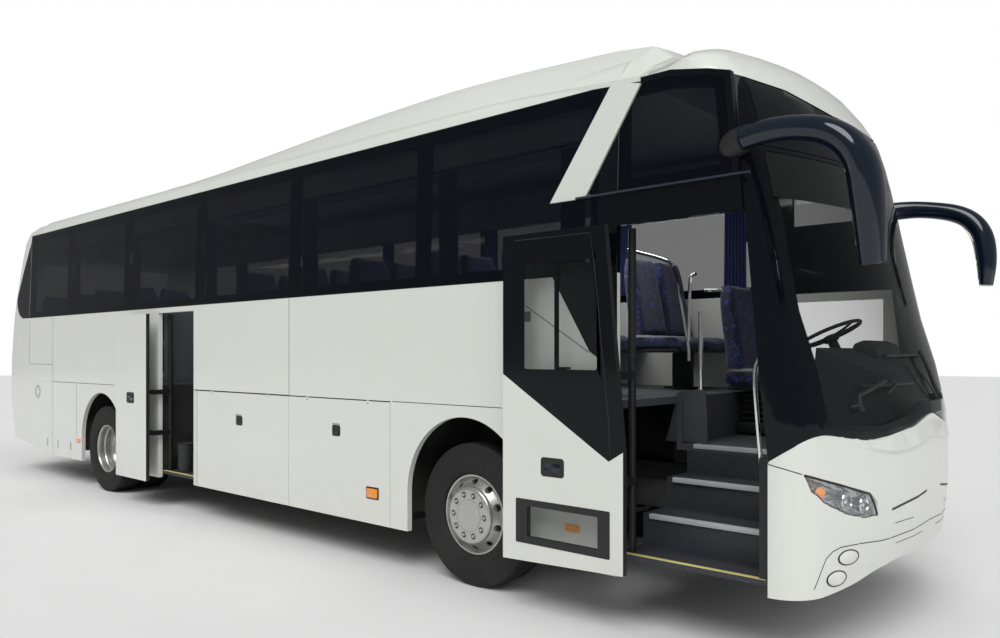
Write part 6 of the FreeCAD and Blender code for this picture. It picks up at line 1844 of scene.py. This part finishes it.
@dataclass
class Studio:
    """Camera, floor and light."""

    place: Point = (7.304, -5.376, 1.656)
    lens: float = 29.4
    heading: float = 41.77
    shift: float = 0.0341

    def build(self) -> None:
        """Set the camera and the light."""
        self.camera()
        self.floor()
        self.world()
        self.sun("key", (0.35, -0.75, 1.0), 1.9, True)
        self.sun("fill", (0.9, -0.1, 0.75), 0.7, False)
        for x in (-4.0, -1.6, 0.8, 3.2):
            self.cabin_lamp(x)
        bpy.context.scene.view_settings.view_transform = "Standard"

    def camera(self) -> None:
        """A level camera at the photograph's place, with the shift of its framing."""
        data = bpy.data.cameras.new("camera")
        data.sensor_width = 36.0
        data.lens = self.lens
        data.shift_y = self.shift
        made = bpy.context.scene.camera = new_object("camera", data)
        made.location = self.place
        made.rotation_euler = (math.radians(90), 0.0, math.radians(self.heading))

    def floor(self) -> None:
        """A pale floor that keeps the coach's shadow."""
        work = bmesh.new()
        below = Matrix.Translation((0.0, 0.0, -0.001))
        bmesh.ops.create_grid(work, x_segments=2, y_segments=2, size=60.0, matrix=below)
        made = new_object("floor", new_mesh("floor", work))
        material = bpy.data.materials.new("studio_floor")
        material.use_nodes = True
        web = Web(material.node_tree)
        colour = web.mix(web.noise(1.5, 2.0), (0.69, 0.69, 0.69), (0.73, 0.73, 0.73))
        web.feed(material.node_tree.nodes["Principled BSDF"], {"Roughness": 0.9, "Base Color": colour})
        made.data.materials.append(material)

    def world(self) -> None:
        """White for the eye, mirrors and glass, softer for the light on the coach."""
        world = bpy.context.scene.world = bpy.data.worlds.new("studio")
        world.use_nodes = True
        web = Web(world.node_tree)
        rays = web.node("LightPath").outputs
        seen = web.math("MAXIMUM", rays["Is Camera Ray"], rays["Is Transmission Ray"], clamp=True)
        soft = web.math("ADD", web.math("MULTIPLY", rays["Is Glossy Ray"], -0.24), 0.48)
        web.feed(world.node_tree.nodes["Background"], {"Color": (1.0, 1.0, 1.0, 1.0),
                                                       "Strength": web.math("MAXIMUM", seen, soft)})

    def cabin_lamp(self, x: float) -> None:
        """A dim lamp under the saloon's ceiling, so that the seats show through the dark glass."""
        data = bpy.data.lights.new("cabin", "AREA")
        data.shape = "RECTANGLE"
        data.size = 2.2
        data.size_y = 0.5
        data.energy = 24.0
        new_object("cabin", data).location = (x, 0.0, 3.05)

    def sun(self, name: str, place: Point, power: float, glossy: bool) -> None:
        """A broad soft light from one direction, seen in gloss or not."""
        data = bpy.data.lights.new(name, "SUN")
        data.angle = math.radians(38)
        data.energy = power
        made = new_object(name, data)
        made.rotation_euler = (-Vector(place)).to_track_quat("-Z", "Y").to_euler()
        made.visible_glossy = glossy


def main() -> None:
    """Build every part of the scene in order."""
    logging.basicConfig(level=logging.INFO, format="%(message)s")
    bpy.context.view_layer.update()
    for part in (Studio(), Shell(), Mirrors(), Headlamps(), SmallLamps(), Wipers(), RoadWheel(), FrontDoor(),
                 Entrance(), Seats(), Curtains(), Cab(), Fittings()):
        part.build()


if __name__ == "__main__":
    main()
